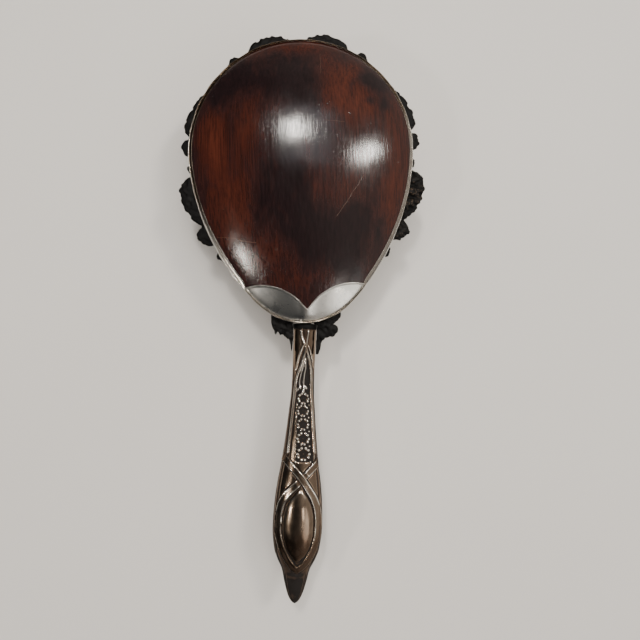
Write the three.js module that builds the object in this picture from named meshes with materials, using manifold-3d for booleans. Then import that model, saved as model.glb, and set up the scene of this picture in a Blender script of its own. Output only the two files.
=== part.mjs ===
// A dressing-table hairbrush: a domed wooden back held in a silver rim, a silver mount at the throat, a
// blackened scrolled border under the rim, a drawn bristle stock and a stamped, filled silver handle on a
// steel tang.
// Millimetres, +Z up. The brush lies on its bristle tips at z = 0, its handle points to -Y, and the origin is
// the centre of its footprint.
import * as THREE from "three";
import { mergeVertices } from "three/addons/utils/BufferGeometryUtils.js";
import Module from "manifold-3d";

const wasm = await Module();
wasm.setup();

// Driving dimensions of the head's egg outline, which is made of three tangent arcs.
const CROWN_RADIUS = 45.5;
const THROAT_RADIUS = 26.5;
const FLANK_RADIUS = 93.5;
const CROWN_Y = 68.9;
const THROAT_Y = 26.3;

// Heights of the layers of the head, from the bristle tips up.
const GAP = 0.3;
const BRISTLE_LENGTH = 18.2;
const STOCK_TOP = 25.9;
const BORDER_Z = [STOCK_TOP + GAP, 27.7];
const RIM_Z = 28;
const BACK_EDGE_Z = 30.7;
const DOME_RISE = 10.5;
const DOME_POWER = 0.75;

// How far each layer is set in from the outline.
const DOME_INSET = 0.6;
const BACK_INSET = 1.7;
const STOCK_INSET = 3.2;
const FLANGE_INSET = 6.5;
const FIELD_INSET = 8;

// Bristle rows, and the wire that draws each row's tufts into the stock.
const ROW_COUNT = 13;
const FIRST_ROW_Y = 17.5;
const ROW_PITCH = 6.9;
const TUFT_PITCH = 7.4;
const TUFT_ROOT_RADIUS = 1.4;
const TUFT_TIP_RADIUS = 2;
const TUFT_SIDES = 6;
const WIRE = 0.8;
const WIRE_TOP = STOCK_TOP - 0.7;
const CHANNEL_HALF_WIDTH = 2;

// The throat mount's upper edge is two arcs that meet in a cusp.
const MOUNT_ARC_RADIUS = 21.9;
const MOUNT_ARC_X = 18.75;
const MOUNT_MIDDLE_X = 0.8;
const MOUNT_ARC_Y = -6.2;
const MOUNT_SHEET = 0.8;

// The handle's stations from tip to neck: y, half width, half thickness, height of the middle.
const HANDLE_STATIONS = [
  [-117.2, 0.5, 0.4, 21.9],
  [-115.5, 2, 1.6, 22],
  [-111.7, 3.6, 2.6, 22.1],
  [-107.2, 4.8, 3.2, 22.3],
  [-102.7, 5.8, 4, 22.5],
  [-98.2, 7.9, 5, 22.7],
  [-93.8, 9.4, 5.8, 22.9],
  [-84.8, 10.3, 6.4, 23.3],
  [-75.8, 10, 6.4, 23.6],
  [-66.9, 9.1, 5.9, 23.9],
  [-58, 7.7, 5.2, 24.1],
  [-46, 6.3, 4.6, 24.3],
  [-36.6, 5.4, 4.1, 24.4],
  [-28.3, 4.7, 3.9, 24.5],
  [-20.1, 4.55, 3.8, 24.5],
  [-11.8, 4.65, 3.9, 24.5],
  [-1.8, 4.75, 4, 24.5],
];
const STATIONS_ALONG = 22;
const SHELL_THICKNESS = 0.9;
const SEAM_ANGLE = THREE.MathUtils.degToRad(88);
const COLLAR_Y = [-1.5, -0.5];

// The tang and the two pins that hold it in the stock.
const TANG_WIDTH = 4.4;
const TANG_Z = [22.9, 25.5];
const TANG_Y = [-92, 12.5];
const TANG_PIN_RADIUS = 0.9;
const TANG_PIN_Y = { front: 9.4, rear: 5 };
const TONGUE_HALF_WIDTH = 5;

// The handle leans to the left of the head's middle line, turned about a point inside the throat.
const HANDLE_LEAN = 4;
const HANDLE_PIVOT_Y = 4;

// The border's lobes, left and right alike: degrees from the crown, half length along the rim and reach
// beyond it.
const LOBES = [
  { angle: 13.2, half: 9.9, reach: 4.6 },
  { angle: 29.5, half: 4, reach: 3.1 },
  { angle: 58.6, half: 10.5, reach: 3.3 },
  { angle: 75.7, half: 4.2, reach: 3.5 },
  { angle: 86.7, half: 2.4, reach: 1.7 },
  { angle: 103.7, half: 10.7, reach: 6.5 },
  { angle: 122.3, half: 4.9, reach: 5.2 },
  { angle: 134.5, half: 2.9, reach: 1.5 },
];
const LOBE_MIDDLE_Y = 61.4;
const LOBE_SEAT = 1.6;
const LOBE_SIDES = 22;
const BORDER_INSET = 1;

// The border's ragged leaf at the throat, from its left end round the neck to its right end.
const THROAT_LEAF = [
  [-13.6, 6],
  [-14.4, 2.6],
  [-14, -0.2],
  [-13.3, -2.6],
  [-12.8, -4.5],
  [-12.3, -4.4],
  [-11.7, -2.6],
  [-10.8, -4.6],
  [-9.2, -5.1],
  [-8, -5.6],
  [-7.1, -7],
  [-6.6, -9],
  [-6.2, -12],
  [5, -14],
  [5.7, -9.4],
  [6, -7.9],
  [6.5, -7],
  [8.6, -6.7],
  [9.6, -5.9],
  [10.3, -6.8],
  [11.7, -5.2],
  [13.3, -3.4],
  [13, -2.2],
  [11.9, -1.2],
  [10, -1.4],
  [12.4, 0.2],
  [14.1, 1.7],
  [14.5, 3.5],
  [13.8, 6],
];

const COLOURS = {
  wood: { color: 0x3a1710, roughness: 0.22, metalness: 0 },
  stock: { color: 0x2a130c, roughness: 0.4, metalness: 0 },
  silver: { color: 0xc9c4bb, roughness: 0.22, metalness: 1 },
  wornSilver: { color: 0x9a8a78, roughness: 0.3, metalness: 1 },
  blackened: { color: 0x1d1a19, roughness: 0.45, metalness: 0.6 },
  bristle: { color: 0xcdb791, roughness: 0.6, metalness: 0 },
  steel: { color: 0x6f6a66, roughness: 0.5, metalness: 1 },
  pitch: { color: 0x2b2019, roughness: 0.9, metalness: 0 },
};

// ---- Solids ----

function solidOf(geometry) {
  const bare = geometry.index ? geometry.toNonIndexed() : geometry.clone();
  bare.deleteAttribute("normal");
  bare.deleteAttribute("uv");
  const merged = mergeVertices(bare, 1e-4);
  const mesh = new wasm.Mesh({
    numProp: 3,
    vertProperties: new Float32Array(merged.attributes.position.array),
    triVerts: new Uint32Array(merged.index.array),
  });
  return new wasm.Manifold(mesh);
}

function geometryOf(solid) {
  const mesh = solid.getMesh();
  const positions = new Float32Array(mesh.numVert * 3);
  for (let i = 0; i < mesh.numVert; i++) {
    positions.set(mesh.vertProperties.subarray(i * mesh.numProp, i * mesh.numProp + 3), i * 3);
  }
  const geometry = new THREE.BufferGeometry();
  geometry.setAttribute("position", new THREE.BufferAttribute(positions, 3));
  geometry.setIndex(new THREE.BufferAttribute(new Uint32Array(mesh.triVerts), 1));
  return geometry;
}

// An upright prism of a flat outline, between two heights, with an optional hole.
function prism(outline, bottom, top, hole) {
  const shape = new THREE.Shape(outline);
  if (hole) shape.holes.push(new THREE.Path(hole));
  const geometry = new THREE.ExtrudeGeometry(shape, { depth: top - bottom, bevelEnabled: false });
  return geometry.translate(0, 0, bottom);
}

function block(x, y, z) {
  const geometry = new THREE.BoxGeometry(x[1] - x[0], y[1] - y[0], z[1] - z[0]);
  return geometry.translate((x[0] + x[1]) / 2, (y[0] + y[1]) / 2, (z[0] + z[1]) / 2);
}

// An upright round or many-sided post, which may taper.
function post(x, y, bottom, top, bottomRadius, topRadius, sides) {
  const geometry = new THREE.CylinderGeometry(topRadius, bottomRadius, top - bottom, sides);
  return geometry.rotateX(Math.PI / 2).translate(x, y, (bottom + top) / 2);
}

// Skins a stack of equal rings of points and caps both ends. flatten gives a point's place in the cap's plane,
// where every ring runs anticlockwise seen from the stack's far end.
function loft(rings, flatten) {
  const count = rings[0].length;
  const index = [];
  for (let level = 0; level < rings.length - 1; level++) {
    for (let i = 0; i < count; i++) {
      const a = level * count + i;
      const b = level * count + ((i + 1) % count);
      index.push(a, b, b + count, a, b + count, a + count);
    }
  }
  const cap = (ring, first, facesFar) => {
    const flat = ring.map(flatten);
    for (const [i, j, k] of THREE.ShapeUtils.triangulateShape(flat, [])) {
      const anticlockwise = THREE.ShapeUtils.area([flat[i], flat[j], flat[k]]) > 0;
      const [second, third] = anticlockwise === facesFar ? [j, k] : [k, j];
      index.push(first + i, first + second, first + third);
    }
  };
  cap(rings[0], 0, false);
  cap(rings.at(-1), (rings.length - 1) * count, true);
  const geometry = new THREE.BufferGeometry().setFromPoints(rings.flat());
  geometry.setIndex(index);
  return geometry;
}

// ---- The head's outline and dome ----

const flankReach = FLANK_RADIUS - CROWN_RADIUS;
const centres = CROWN_Y - THROAT_Y;
const flankRise = ((FLANK_RADIUS - THROAT_RADIUS) ** 2 - flankReach ** 2 - centres ** 2) / (2 * centres);
const FLANK_X = Math.sqrt(flankReach ** 2 - flankRise ** 2);
const FLANK_Y = CROWN_Y + flankRise;
const CROWN_ANGLE = Math.atan2(CROWN_Y - FLANK_Y, FLANK_X);
const THROAT_ANGLE = Math.atan2(THROAT_Y - FLANK_Y, FLANK_X);

// The egg outline, set in from the head's edge, anticlockwise from the right shoulder.
function headOutline(inset = 0) {
  const points = [];
  const arc = (x, y, radius, from, to, steps) => {
    for (let i = 0; i < steps; i++) {
      const angle = from + ((to - from) * i) / steps;
      points.push(new THREE.Vector2(x + radius * Math.cos(angle), y + radius * Math.sin(angle)));
    }
  };
  const turn = 2 * Math.PI;
  arc(0, CROWN_Y, CROWN_RADIUS - inset, CROWN_ANGLE, Math.PI - CROWN_ANGLE, 26);
  arc(FLANK_X, FLANK_Y, FLANK_RADIUS - inset, Math.PI - CROWN_ANGLE, Math.PI - THROAT_ANGLE, 8);
  arc(0, THROAT_Y, THROAT_RADIUS - inset, Math.PI - THROAT_ANGLE, turn + THROAT_ANGLE, 12);
  arc(-FLANK_X, FLANK_Y, FLANK_RADIUS - inset, THROAT_ANGLE, CROWN_ANGLE, 8);
  return points;
}

// Half the head's width at y, set in from its edge.
function halfWidth(y, inset) {
  const crownJoin = CROWN_Y + CROWN_RADIUS * Math.sin(CROWN_ANGLE);
  const throatJoin = THROAT_Y + THROAT_RADIUS * Math.sin(THROAT_ANGLE);
  const chord = (radius, offset) => Math.sqrt(Math.max(0, (radius - inset) ** 2 - offset ** 2));
  if (y > crownJoin) return chord(CROWN_RADIUS, y - CROWN_Y);
  if (y < throatJoin) return chord(THROAT_RADIUS, y - THROAT_Y);
  return chord(FLANK_RADIUS, y - FLANK_Y) - FLANK_X;
}

// The height of the polished dome over a point of the head.
function domeHeight(x, y) {
  const inside = halfWidth(y, DOME_INSET) ** 2 - x ** 2;
  const fullness = Math.max(0, inside) / (CROWN_RADIUS - DOME_INSET) ** 2;
  return BACK_EDGE_Z + DOME_RISE * fullness ** DOME_POWER;
}

// Everything between a level and the dome's surface moved by drop, within the outline at an inset.
function domeSolid(inset, drop, bottom) {
  const edge = headOutline(inset);
  const middle = new THREE.Vector2(0, LOBE_MIDDLE_Y);
  const ringAt = (scale, height) =>
    edge.map((point) => {
      const p = point.clone().sub(middle).multiplyScalar(scale).add(middle);
      return new THREE.Vector3(p.x, p.y, height ?? domeHeight(p.x, p.y) - drop);
    });
  const scales = [1, 0.985, 0.95, 0.89, 0.8, 0.68, 0.52, 0.34, 0.16];
  const rings = [ringAt(1, bottom), ...scales.map((scale) => ringAt(scale))];
  return solidOf(loft(rings, (p) => new THREE.Vector2(p.x, p.y)));
}

// ---- The back, its rim and its mount ----

const MOUNT_CUT = MOUNT_SHEET + GAP;

// The throat mount's plan, two discs whose upper edges meet in the cusp, grown by a margin.
function mountPlan(margin) {
  const radius = MOUNT_ARC_RADIUS + margin;
  const disc = (side) => {
    const x = MOUNT_MIDDLE_X + side * MOUNT_ARC_X;
    return solidOf(post(x, MOUNT_ARC_Y, 20, 50, radius, radius, 72));
  };
  return disc(-1).add(disc(1));
}

const mountSeat = mountPlan(GAP).subtract(domeSolid(-2, MOUNT_CUT, 10));

function woodenBack() {
  const dome = domeSolid(BACK_INSET, 0, RIM_Z + 0.9);
  const boss = solidOf(prism(headOutline(FLANGE_INSET + GAP), STOCK_TOP + GAP, RIM_Z + 1.5));
  return geometryOf(dome.add(boss).subtract(mountSeat));
}

function throatMount() {
  const whole = mountPlan(0).intersect(domeSolid(DOME_INSET, 0, 20));
  return geometryOf(whole.subtract(domeSolid(-1, MOUNT_SHEET, 10)));
}

// The rim's section is a rounded outer bead with a thin flange that runs in under the back.
function rimBand() {
  const section = [
    [0, 30],
    [0.35, 28.6],
    [1.1, RIM_Z],
    [FLANGE_INSET, RIM_Z],
    [FLANGE_INSET, RIM_Z + 0.6],
    [BACK_INSET - GAP, RIM_Z + 0.6],
    [BACK_INSET - GAP, 31.9],
    [0.9, 32],
    [0.2, 31.3],
  ];
  const loops = section.map(([inset, z]) => headOutline(inset).map((p) => new THREE.Vector3(p.x, p.y, z)));
  const count = loops[0].length;
  const index = [];
  loops.forEach((_, j) => {
    const next = ((j + 1) % loops.length) * count;
    for (let i = 0; i < count; i++) {
      const a = j * count + i;
      const b = j * count + ((i + 1) % count);
      const c = next + i;
      const d = next + ((i + 1) % count);
      index.push(a, d, b, a, c, d);
    }
  });
  const geometry = new THREE.BufferGeometry().setFromPoints(loops.flat());
  geometry.setIndex(index);
  return geometryOf(solidOf(geometry).subtract(mountSeat));
}

// ---- The handle ----

// A smooth value along the handle for one column of the stations.
function stationCurve(column) {
  const points = HANDLE_STATIONS.map((station) => new THREE.Vector3(station[0], station[column], 0));
  return new THREE.CatmullRomCurve3(points, false, "centripetal");
}

const widthCurve = stationCurve(1);
const depthCurve = stationCurve(2);
const middleCurve = stationCurve(3);

// Rings of the handle's section, shrunk inward, over an angle range measured from straight up. A shell's ring
// runs out along its outer face and back along its inner one.
function handleRings(shrink, from, to, steps, wall = 0) {
  const rings = [];
  for (let i = 0; i <= STATIONS_ALONG; i++) {
    const t = i / STATIONS_ALONG;
    const { x: y, y: width } = widthCurve.getPoint(t);
    const depth = depthCurve.getPoint(t).y;
    const middle = middleCurve.getPoint(t).y;
    const pointAt = (step, inward) => {
      const angle = from + ((to - from) * step) / steps;
      const x = Math.max(width - inward, width * 0.3) * Math.sin(angle);
      return new THREE.Vector3(x, y, middle + Math.max(depth - inward, depth * 0.3) * Math.cos(angle));
    };
    const whole = wall === 0;
    const outer = Array.from({ length: whole ? steps : steps + 1 }, (_, step) => pointAt(step, shrink));
    const back = (_, step) => pointAt(steps - step, shrink + wall);
    const inner = whole ? [] : Array.from({ length: steps + 1 }, back);
    rings.push([...outer, ...inner]);
  }
  return rings;
}

const acrossHandle = (p) => new THREE.Vector2(p.z, p.x);

function handleShell(from, to) {
  return geometryOf(leaned(solidOf(loft(handleRings(0, from, to, 8, SHELL_THICKNESS), acrossHandle))));
}

function leaned(solid) {
  const turned = solid.translate([0, -HANDLE_PIVOT_Y, 0]).rotate([0, 0, -HANDLE_LEAN]);
  return turned.translate([0, HANDLE_PIVOT_Y, 0]);
}

function handleBody(shrink) {
  return leaned(solidOf(loft(handleRings(shrink, 0, 2 * Math.PI, 14), acrossHandle)));
}

const tangBox = block(
  [-TANG_WIDTH / 2 - GAP, TANG_WIDTH / 2 + GAP],
  [TANG_Y[0] - GAP, TANG_Y[1] + GAP],
  [TANG_Z[0] - GAP, TANG_Z[1] + GAP],
);
const tangSpace = leaned(solidOf(tangBox));

function handleFiller() {
  return geometryOf(handleBody(SHELL_THICKNESS + GAP).subtract(tangSpace));
}

// The collar between the neck and the head, an oval plate that the tang passes through.
function collarSolid(margin) {
  const [, width, depth, middle] = HANDLE_STATIONS.at(-1);
  const geometry = new THREE.CylinderGeometry(1, 1, COLLAR_Y[1] - COLLAR_Y[0] + margin, 28);
  geometry.scale(width + 0.3 + margin, 1, depth + 0.3 + margin);
  return leaned(solidOf(geometry.translate(0, (COLLAR_Y[0] + COLLAR_Y[1]) / 2, middle)));
}

function tang() {
  const bar = leaned(solidOf(block([-TANG_WIDTH / 2, TANG_WIDTH / 2], TANG_Y, TANG_Z)));
  return geometryOf(bar.subtract(tangPinHoles));
}

function tangPin(y, margin = 0) {
  const radius = TANG_PIN_RADIUS + margin;
  return leaned(solidOf(post(0, y, BRISTLE_LENGTH - margin, TANG_Z[1] + 0.1 + margin, radius, radius, 12)));
}

const tangPinHoles = tangPin(TANG_PIN_Y.front, GAP).add(tangPin(TANG_PIN_Y.rear, GAP));

// ---- The scrolled border ----

// Where a ray from the border's middle meets the rim, and the rim's direction there.
function rimCrossing(angle) {
  const direction = new THREE.Vector2(Math.sin(angle), Math.cos(angle));
  const edge = headOutline();
  const middle = new THREE.Vector2(0, LOBE_MIDDLE_Y);
  for (let i = 0; i < edge.length; i++) {
    const a = edge[i].clone().sub(middle);
    const b = edge[(i + 1) % edge.length].clone().sub(middle);
    const sideA = direction.cross(a);
    const sideB = direction.cross(b);
    if (sideA <= 0 && sideB > 0 && a.dot(direction) > 0) {
      const point = a.lerp(b, sideA / (sideA - sideB)).add(middle);
      const along = edge[(i + 1) % edge.length].clone().sub(edge[i]).normalize();
      return { point, along };
    }
  }
  throw new Error("no rim crossing");
}

function borderLobe({ angle, half, reach }, side) {
  const { point, along } = rimCrossing(THREE.MathUtils.degToRad(side * angle));
  const outward = new THREE.Vector2(along.y, -along.x);
  const lobe = post(0, 0, BORDER_Z[0], BORDER_Z[1], 1, 1, LOBE_SIDES);
  lobe.scale(half, reach + LOBE_SEAT, 1);
  lobe.rotateZ(Math.atan2(along.y, along.x));
  lobe.translate(point.x - outward.x * LOBE_SEAT, point.y - outward.y * LOBE_SEAT, 0);
  return solidOf(lobe);
}

function scrolledBorder() {
  const leaf = THROAT_LEAF.map(([x, y]) => new THREE.Vector2(x, y));
  let border = solidOf(prism(headOutline(BORDER_INSET), ...BORDER_Z)).add(solidOf(prism(leaf, ...BORDER_Z)));
  for (const lobe of LOBES) {
    border = border.add(borderLobe(lobe, 1)).add(borderLobe(lobe, -1));
  }
  const opening = solidOf(prism(headOutline(FLANGE_INSET), 20, 40));
  return geometryOf(border.subtract(opening).subtract(handleBody(-GAP)).subtract(collarSolid(GAP)));
}

// ---- The bristle stock ----

// Where a row's tufts stand. Every second row is staggered by half a pitch.
function tuftPlaces(row) {
  const y = FIRST_ROW_Y + row * ROW_PITCH;
  const limit = halfWidth(y, FIELD_INSET);
  const start = row % 2 ? TUFT_PITCH / 2 : 0;
  const places = [];
  for (let x = start; x <= limit; x += TUFT_PITCH) {
    places.push(x);
    if (x > 0) places.unshift(-x);
  }
  return places.map((x) => ({ x, y }));
}

const rows = Array.from({ length: ROW_COUNT }, (_, row) => tuftPlaces(row));

// A row's tufts, or the holes that take them, which are wider by a margin.
function tufts(places, margin) {
  const tip = TUFT_TIP_RADIUS + margin;
  const root = TUFT_ROOT_RADIUS + margin;
  return places.map(({ x, y }) => solidOf(post(x, y, 0, WIRE_TOP - WIRE / 2, tip, root, TUFT_SIDES)));
}

// A bar along a row that reaches past its end tufts.
function rowBar(places, past, half, z) {
  const end = Math.max(...places.map(({ x }) => x)) + past;
  const { y } = places[0];
  return solidOf(block([-end, end], [y - half, y + half], z));
}

function bristleRow(places) {
  const wire = rowBar(places, WIRE, WIRE / 2, [WIRE_TOP - WIRE, WIRE_TOP]);
  return wasm.Manifold.union([wire, ...tufts(places, 0)]);
}

// The holes through the stock and the channel across its top that a row's wire lies in.
function rowSeat(places) {
  const z = [WIRE_TOP - WIRE - GAP, STOCK_TOP + 1];
  const channel = rowBar(places, CHANNEL_HALF_WIDTH, CHANNEL_HALF_WIDTH, z);
  return wasm.Manifold.union([channel, ...tufts(places, GAP)]);
}

function bristleStock() {
  const tongueX = [-TONGUE_HALF_WIDTH, TONGUE_HALF_WIDTH];
  const tongue = block(tongueX, [COLLAR_Y[1] + GAP, 15], [BRISTLE_LENGTH, STOCK_TOP]);
  let stock = solidOf(prism(headOutline(STOCK_INSET), BRISTLE_LENGTH, STOCK_TOP)).add(leaned(solidOf(tongue)));
  stock = stock.subtract(wasm.Manifold.union(rows.map(rowSeat)));
  const slot = block(
    [-TANG_WIDTH / 2 - GAP, TANG_WIDTH / 2 + GAP],
    [-10, TANG_Y[1] + GAP],
    [TANG_Z[0] - GAP, STOCK_TOP + 1],
  );
  return geometryOf(stock.subtract(leaned(solidOf(slot))).subtract(tangPinHoles));
}

// ---- Assembly ----

const brush = new THREE.Group();

function place(name, geometry, finish) {
  const mesh = new THREE.Mesh(geometry, new THREE.MeshStandardMaterial(finish));
  mesh.name = name;
  brush.add(mesh);
}

place("wooden_back", woodenBack(), COLOURS.wood);
place("rim_band", rimBand(), COLOURS.silver);
place("throat_mount", throatMount(), COLOURS.silver);
place("scrolled_border", scrolledBorder(), COLOURS.blackened);
place("bristle_stock", bristleStock(), COLOURS.stock);
rows.forEach((places, row) => {
  const name = `bristle_row_${String(row + 1).padStart(2, "0")}`;
  place(name, geometryOf(bristleRow(places)), COLOURS.bristle);
});
place("handle_top_shell", handleShell(-SEAM_ANGLE, SEAM_ANGLE), COLOURS.wornSilver);
place("handle_bottom_shell", handleShell(Math.PI - SEAM_ANGLE, Math.PI + SEAM_ANGLE), COLOURS.wornSilver);
place("handle_filler", handleFiller(), COLOURS.pitch);
place("neck_collar", geometryOf(collarSolid(0).subtract(tangSpace)), COLOURS.blackened);
place("tang", tang(), COLOURS.steel);
place("tang_pin_front", geometryOf(tangPin(TANG_PIN_Y.front)), COLOURS.steel);
place("tang_pin_rear", geometryOf(tangPin(TANG_PIN_Y.rear)), COLOURS.steel);

export default brush;
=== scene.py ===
"""A dressing-table hairbrush with a polished wooden back, silver fittings and a stamped handle."""
import logging
import math
from dataclasses import dataclass, field
from enum import Enum
from typing import Callable

import bpy
import numpy as np
from mathutils import Matrix, Vector


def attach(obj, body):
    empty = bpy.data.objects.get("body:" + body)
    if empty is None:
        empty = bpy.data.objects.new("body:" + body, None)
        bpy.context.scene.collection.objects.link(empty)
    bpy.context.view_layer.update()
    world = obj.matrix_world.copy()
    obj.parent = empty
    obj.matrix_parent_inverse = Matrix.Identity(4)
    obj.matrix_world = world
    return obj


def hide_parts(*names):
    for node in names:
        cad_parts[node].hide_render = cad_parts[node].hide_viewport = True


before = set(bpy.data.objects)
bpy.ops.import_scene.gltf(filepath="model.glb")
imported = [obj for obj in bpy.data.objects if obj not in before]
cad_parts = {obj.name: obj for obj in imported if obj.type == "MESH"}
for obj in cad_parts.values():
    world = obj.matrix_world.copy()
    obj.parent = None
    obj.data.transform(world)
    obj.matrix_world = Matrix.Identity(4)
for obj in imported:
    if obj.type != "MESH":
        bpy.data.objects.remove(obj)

MM = 0.001
GOLDEN_ANGLE = 2.39996
ANY_TURN = 6.3
LAMPS_AIM = (0.0, 40.0, 30.0)
LOG = logging.getLogger("hairbrush")
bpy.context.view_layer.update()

Socket = bpy.types.NodeSocket
Colour = tuple[float, float, float]
Line = tuple[tuple[float, float], ...]
Blobs = tuple[tuple[float, float, float, float, float], ...]


class Side(Enum):
    """The two faces of the handle's stamping."""

    TOP = 1.0
    UNDER = -1.0


# ---- Number helpers ----


def smoothstep(low: float, high: float, value: np.ndarray) -> np.ndarray:
    """Eases from 0 at low to 1 at high; low may be the larger."""
    t = np.clip((value - low) / (high - low), 0.0, 1.0)
    return t * t * (3.0 - 2.0 * t)


def bump(distance: np.ndarray, half: float) -> np.ndarray:
    """A round bead's profile: 1 on its line and 0 beyond its half width."""
    return np.sqrt(np.clip(1.0 - (distance / half) ** 2, 0.0, 1.0))


def flowing(knots: Line, at: np.ndarray) -> np.ndarray:
    """A smooth line through knots that never overshoots them.

    Args:
        knots: pairs of place and value, with rising places.
        at: where to read the line.

    Returns:
        The line's value at each place.
    """
    x, y = (np.array(column, dtype=float) for column in zip(*knots))
    step = np.diff(x)
    slope = np.diff(y) / step
    tangent = np.concatenate([[slope[0]], np.zeros(len(x) - 2), [slope[-1]]])
    same = slope[:-1] * slope[1:] > 0
    mean = 2.0 * slope[:-1] * slope[1:] / np.where(same, slope[:-1] + slope[1:], 1.0)
    tangent[1:-1] = np.where(same, mean, 0.0)
    place = np.clip(at, x[0], x[-1])
    i = np.clip(np.searchsorted(x, place) - 1, 0, len(x) - 2)
    t = (place - x[i]) / step[i]
    rise = y[i] * (1 + 2 * t) * (1 - t) ** 2 + y[i + 1] * t * t * (3 - 2 * t)
    return rise + step[i] * (tangent[i] * t * (1 - t) ** 2 - tangent[i + 1] * t * t * (1 - t))


def blurred(field_values: np.ndarray, passes: int) -> np.ndarray:
    """A grid of values, softened along both of its directions.

    Args:
        field_values: rows by columns of values.
        passes: how many times they are softened.

    Returns:
        The softened grid.
    """
    soft = field_values.copy()
    for _ in range(passes):
        padded = np.pad(soft, 1, mode="edge")
        soft = (padded[:-2, 1:-1] + padded[2:, 1:-1] + padded[1:-1, :-2] + padded[1:-1, 2:] + 4 * soft) / 8
    return soft


# ---- Mesh helpers ----


@dataclass
class Stock:
    """Closed shells gathered for one piece, in millimetres, with a painted value for each point."""

    points: list[np.ndarray] = field(default_factory=list)
    faces: list[tuple[int, ...]] = field(default_factory=list)
    paint: list[np.ndarray] = field(default_factory=list)
    count: int = 0

    def add(self, points: np.ndarray, faces: list[tuple[int, ...]], paint: np.ndarray | float = 0.0) -> None:
        """Adds one closed shell, with its paint value or values.

        Args:
            points: its points, count by 3.
            faces: its faces, as places in that list.
            paint: the painted value, one for all or one for each point.
        """
        self.points.append(points)
        self.paint.append(np.broadcast_to(np.asarray(paint, dtype=float), (len(points),)))
        self.faces.extend(tuple(self.count + i for i in face) for face in faces)
        self.count += len(points)

    def add_rings(self, rings: np.ndarray, closed: bool = False, paint: np.ndarray | float = 0.0) -> None:
        """Skins a stack of rings that run anticlockwise seen from the stack's far end.

        Args:
            rings: levels by points by 3.
            closed: whether the last ring joins the first; if not, both ends are capped.
            paint: the painted value, one for all or one for each point.
        """
        levels, around = rings.shape[:2]
        faces = []
        for level in range(levels if closed else levels - 1):
            low, high = level * around, (level + 1) % levels * around
            for i in range(around):
                j = (i + 1) % around
                faces.append((low + i, low + j, high + j, high + i))
        if not closed:
            faces.append(tuple(reversed(range(around))))
            faces.append(tuple((levels - 1) * around + i for i in range(around)))
        self.add(rings.reshape(-1, 3), faces, paint)

    def add_sheet(self, face: np.ndarray, back: np.ndarray, paint: np.ndarray) -> None:
        """Closes two matching grids of points into one solid sheet.

        Args:
            face: rows by columns by 3, whose normal is rows crossed with columns.
            back: the matching grid behind it.
            paint: rows by columns of painted values for the face.
        """
        rows, columns = face.shape[:2]
        size = rows * columns
        faces = []
        for r in range(rows - 1):
            for c in range(columns - 1):
                a, b = r * columns + c, (r + 1) * columns + c
                faces.append((a, b, b + 1, a + 1))
                faces.append((size + a, size + a + 1, size + b + 1, size + b))
        edge = list(range(columns))
        edge += [r * columns + columns - 1 for r in range(1, rows)]
        edge += [(rows - 1) * columns + c for c in range(columns - 2, -1, -1)]
        edge += [r * columns for r in range(rows - 2, 0, -1)]
        for i, a in enumerate(edge):
            b = edge[(i + 1) % len(edge)]
            faces.append((a, b, size + b, size + a))
        values = np.concatenate([paint.ravel(), np.zeros(size)])
        self.add(np.concatenate([face.reshape(-1, 3), back.reshape(-1, 3)]), faces, values)

    def piece(
        self, name: str, finish: bpy.types.Material, slot: str, crease: float = 38.0
    ) -> bpy.types.Object:
        """Makes the gathered shells into one object of the brush.

        Args:
            name: the piece's name.
            finish: its material.
            slot: not used.
            crease: the angle in degrees above which an edge stays sharp.

        Returns:
            The new object, riding on the brush's body.
        """
        mesh = bpy.data.meshes.new(name)
        mesh.from_pydata((np.concatenate(self.points) * MM).tolist(), [], self.faces)
        tone_and_painted_light = mesh.attributes.new("tone_and_painted_light", "FLOAT", "POINT")
        tone_and_painted_light.data.foreach_set("value", np.concatenate(self.paint).astype(np.float32))
        mesh.polygons.foreach_set("use_smooth", [True] * len(mesh.polygons))
        mesh.set_sharp_from_angle(angle=math.radians(crease))
        mesh.validate()
        made = bpy.data.objects.new(name, mesh)
        bpy.context.scene.collection.objects.link(made)
        made.data.materials.append(finish)
        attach(made, "root")
        return made


# ---- Finishes ----


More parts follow.
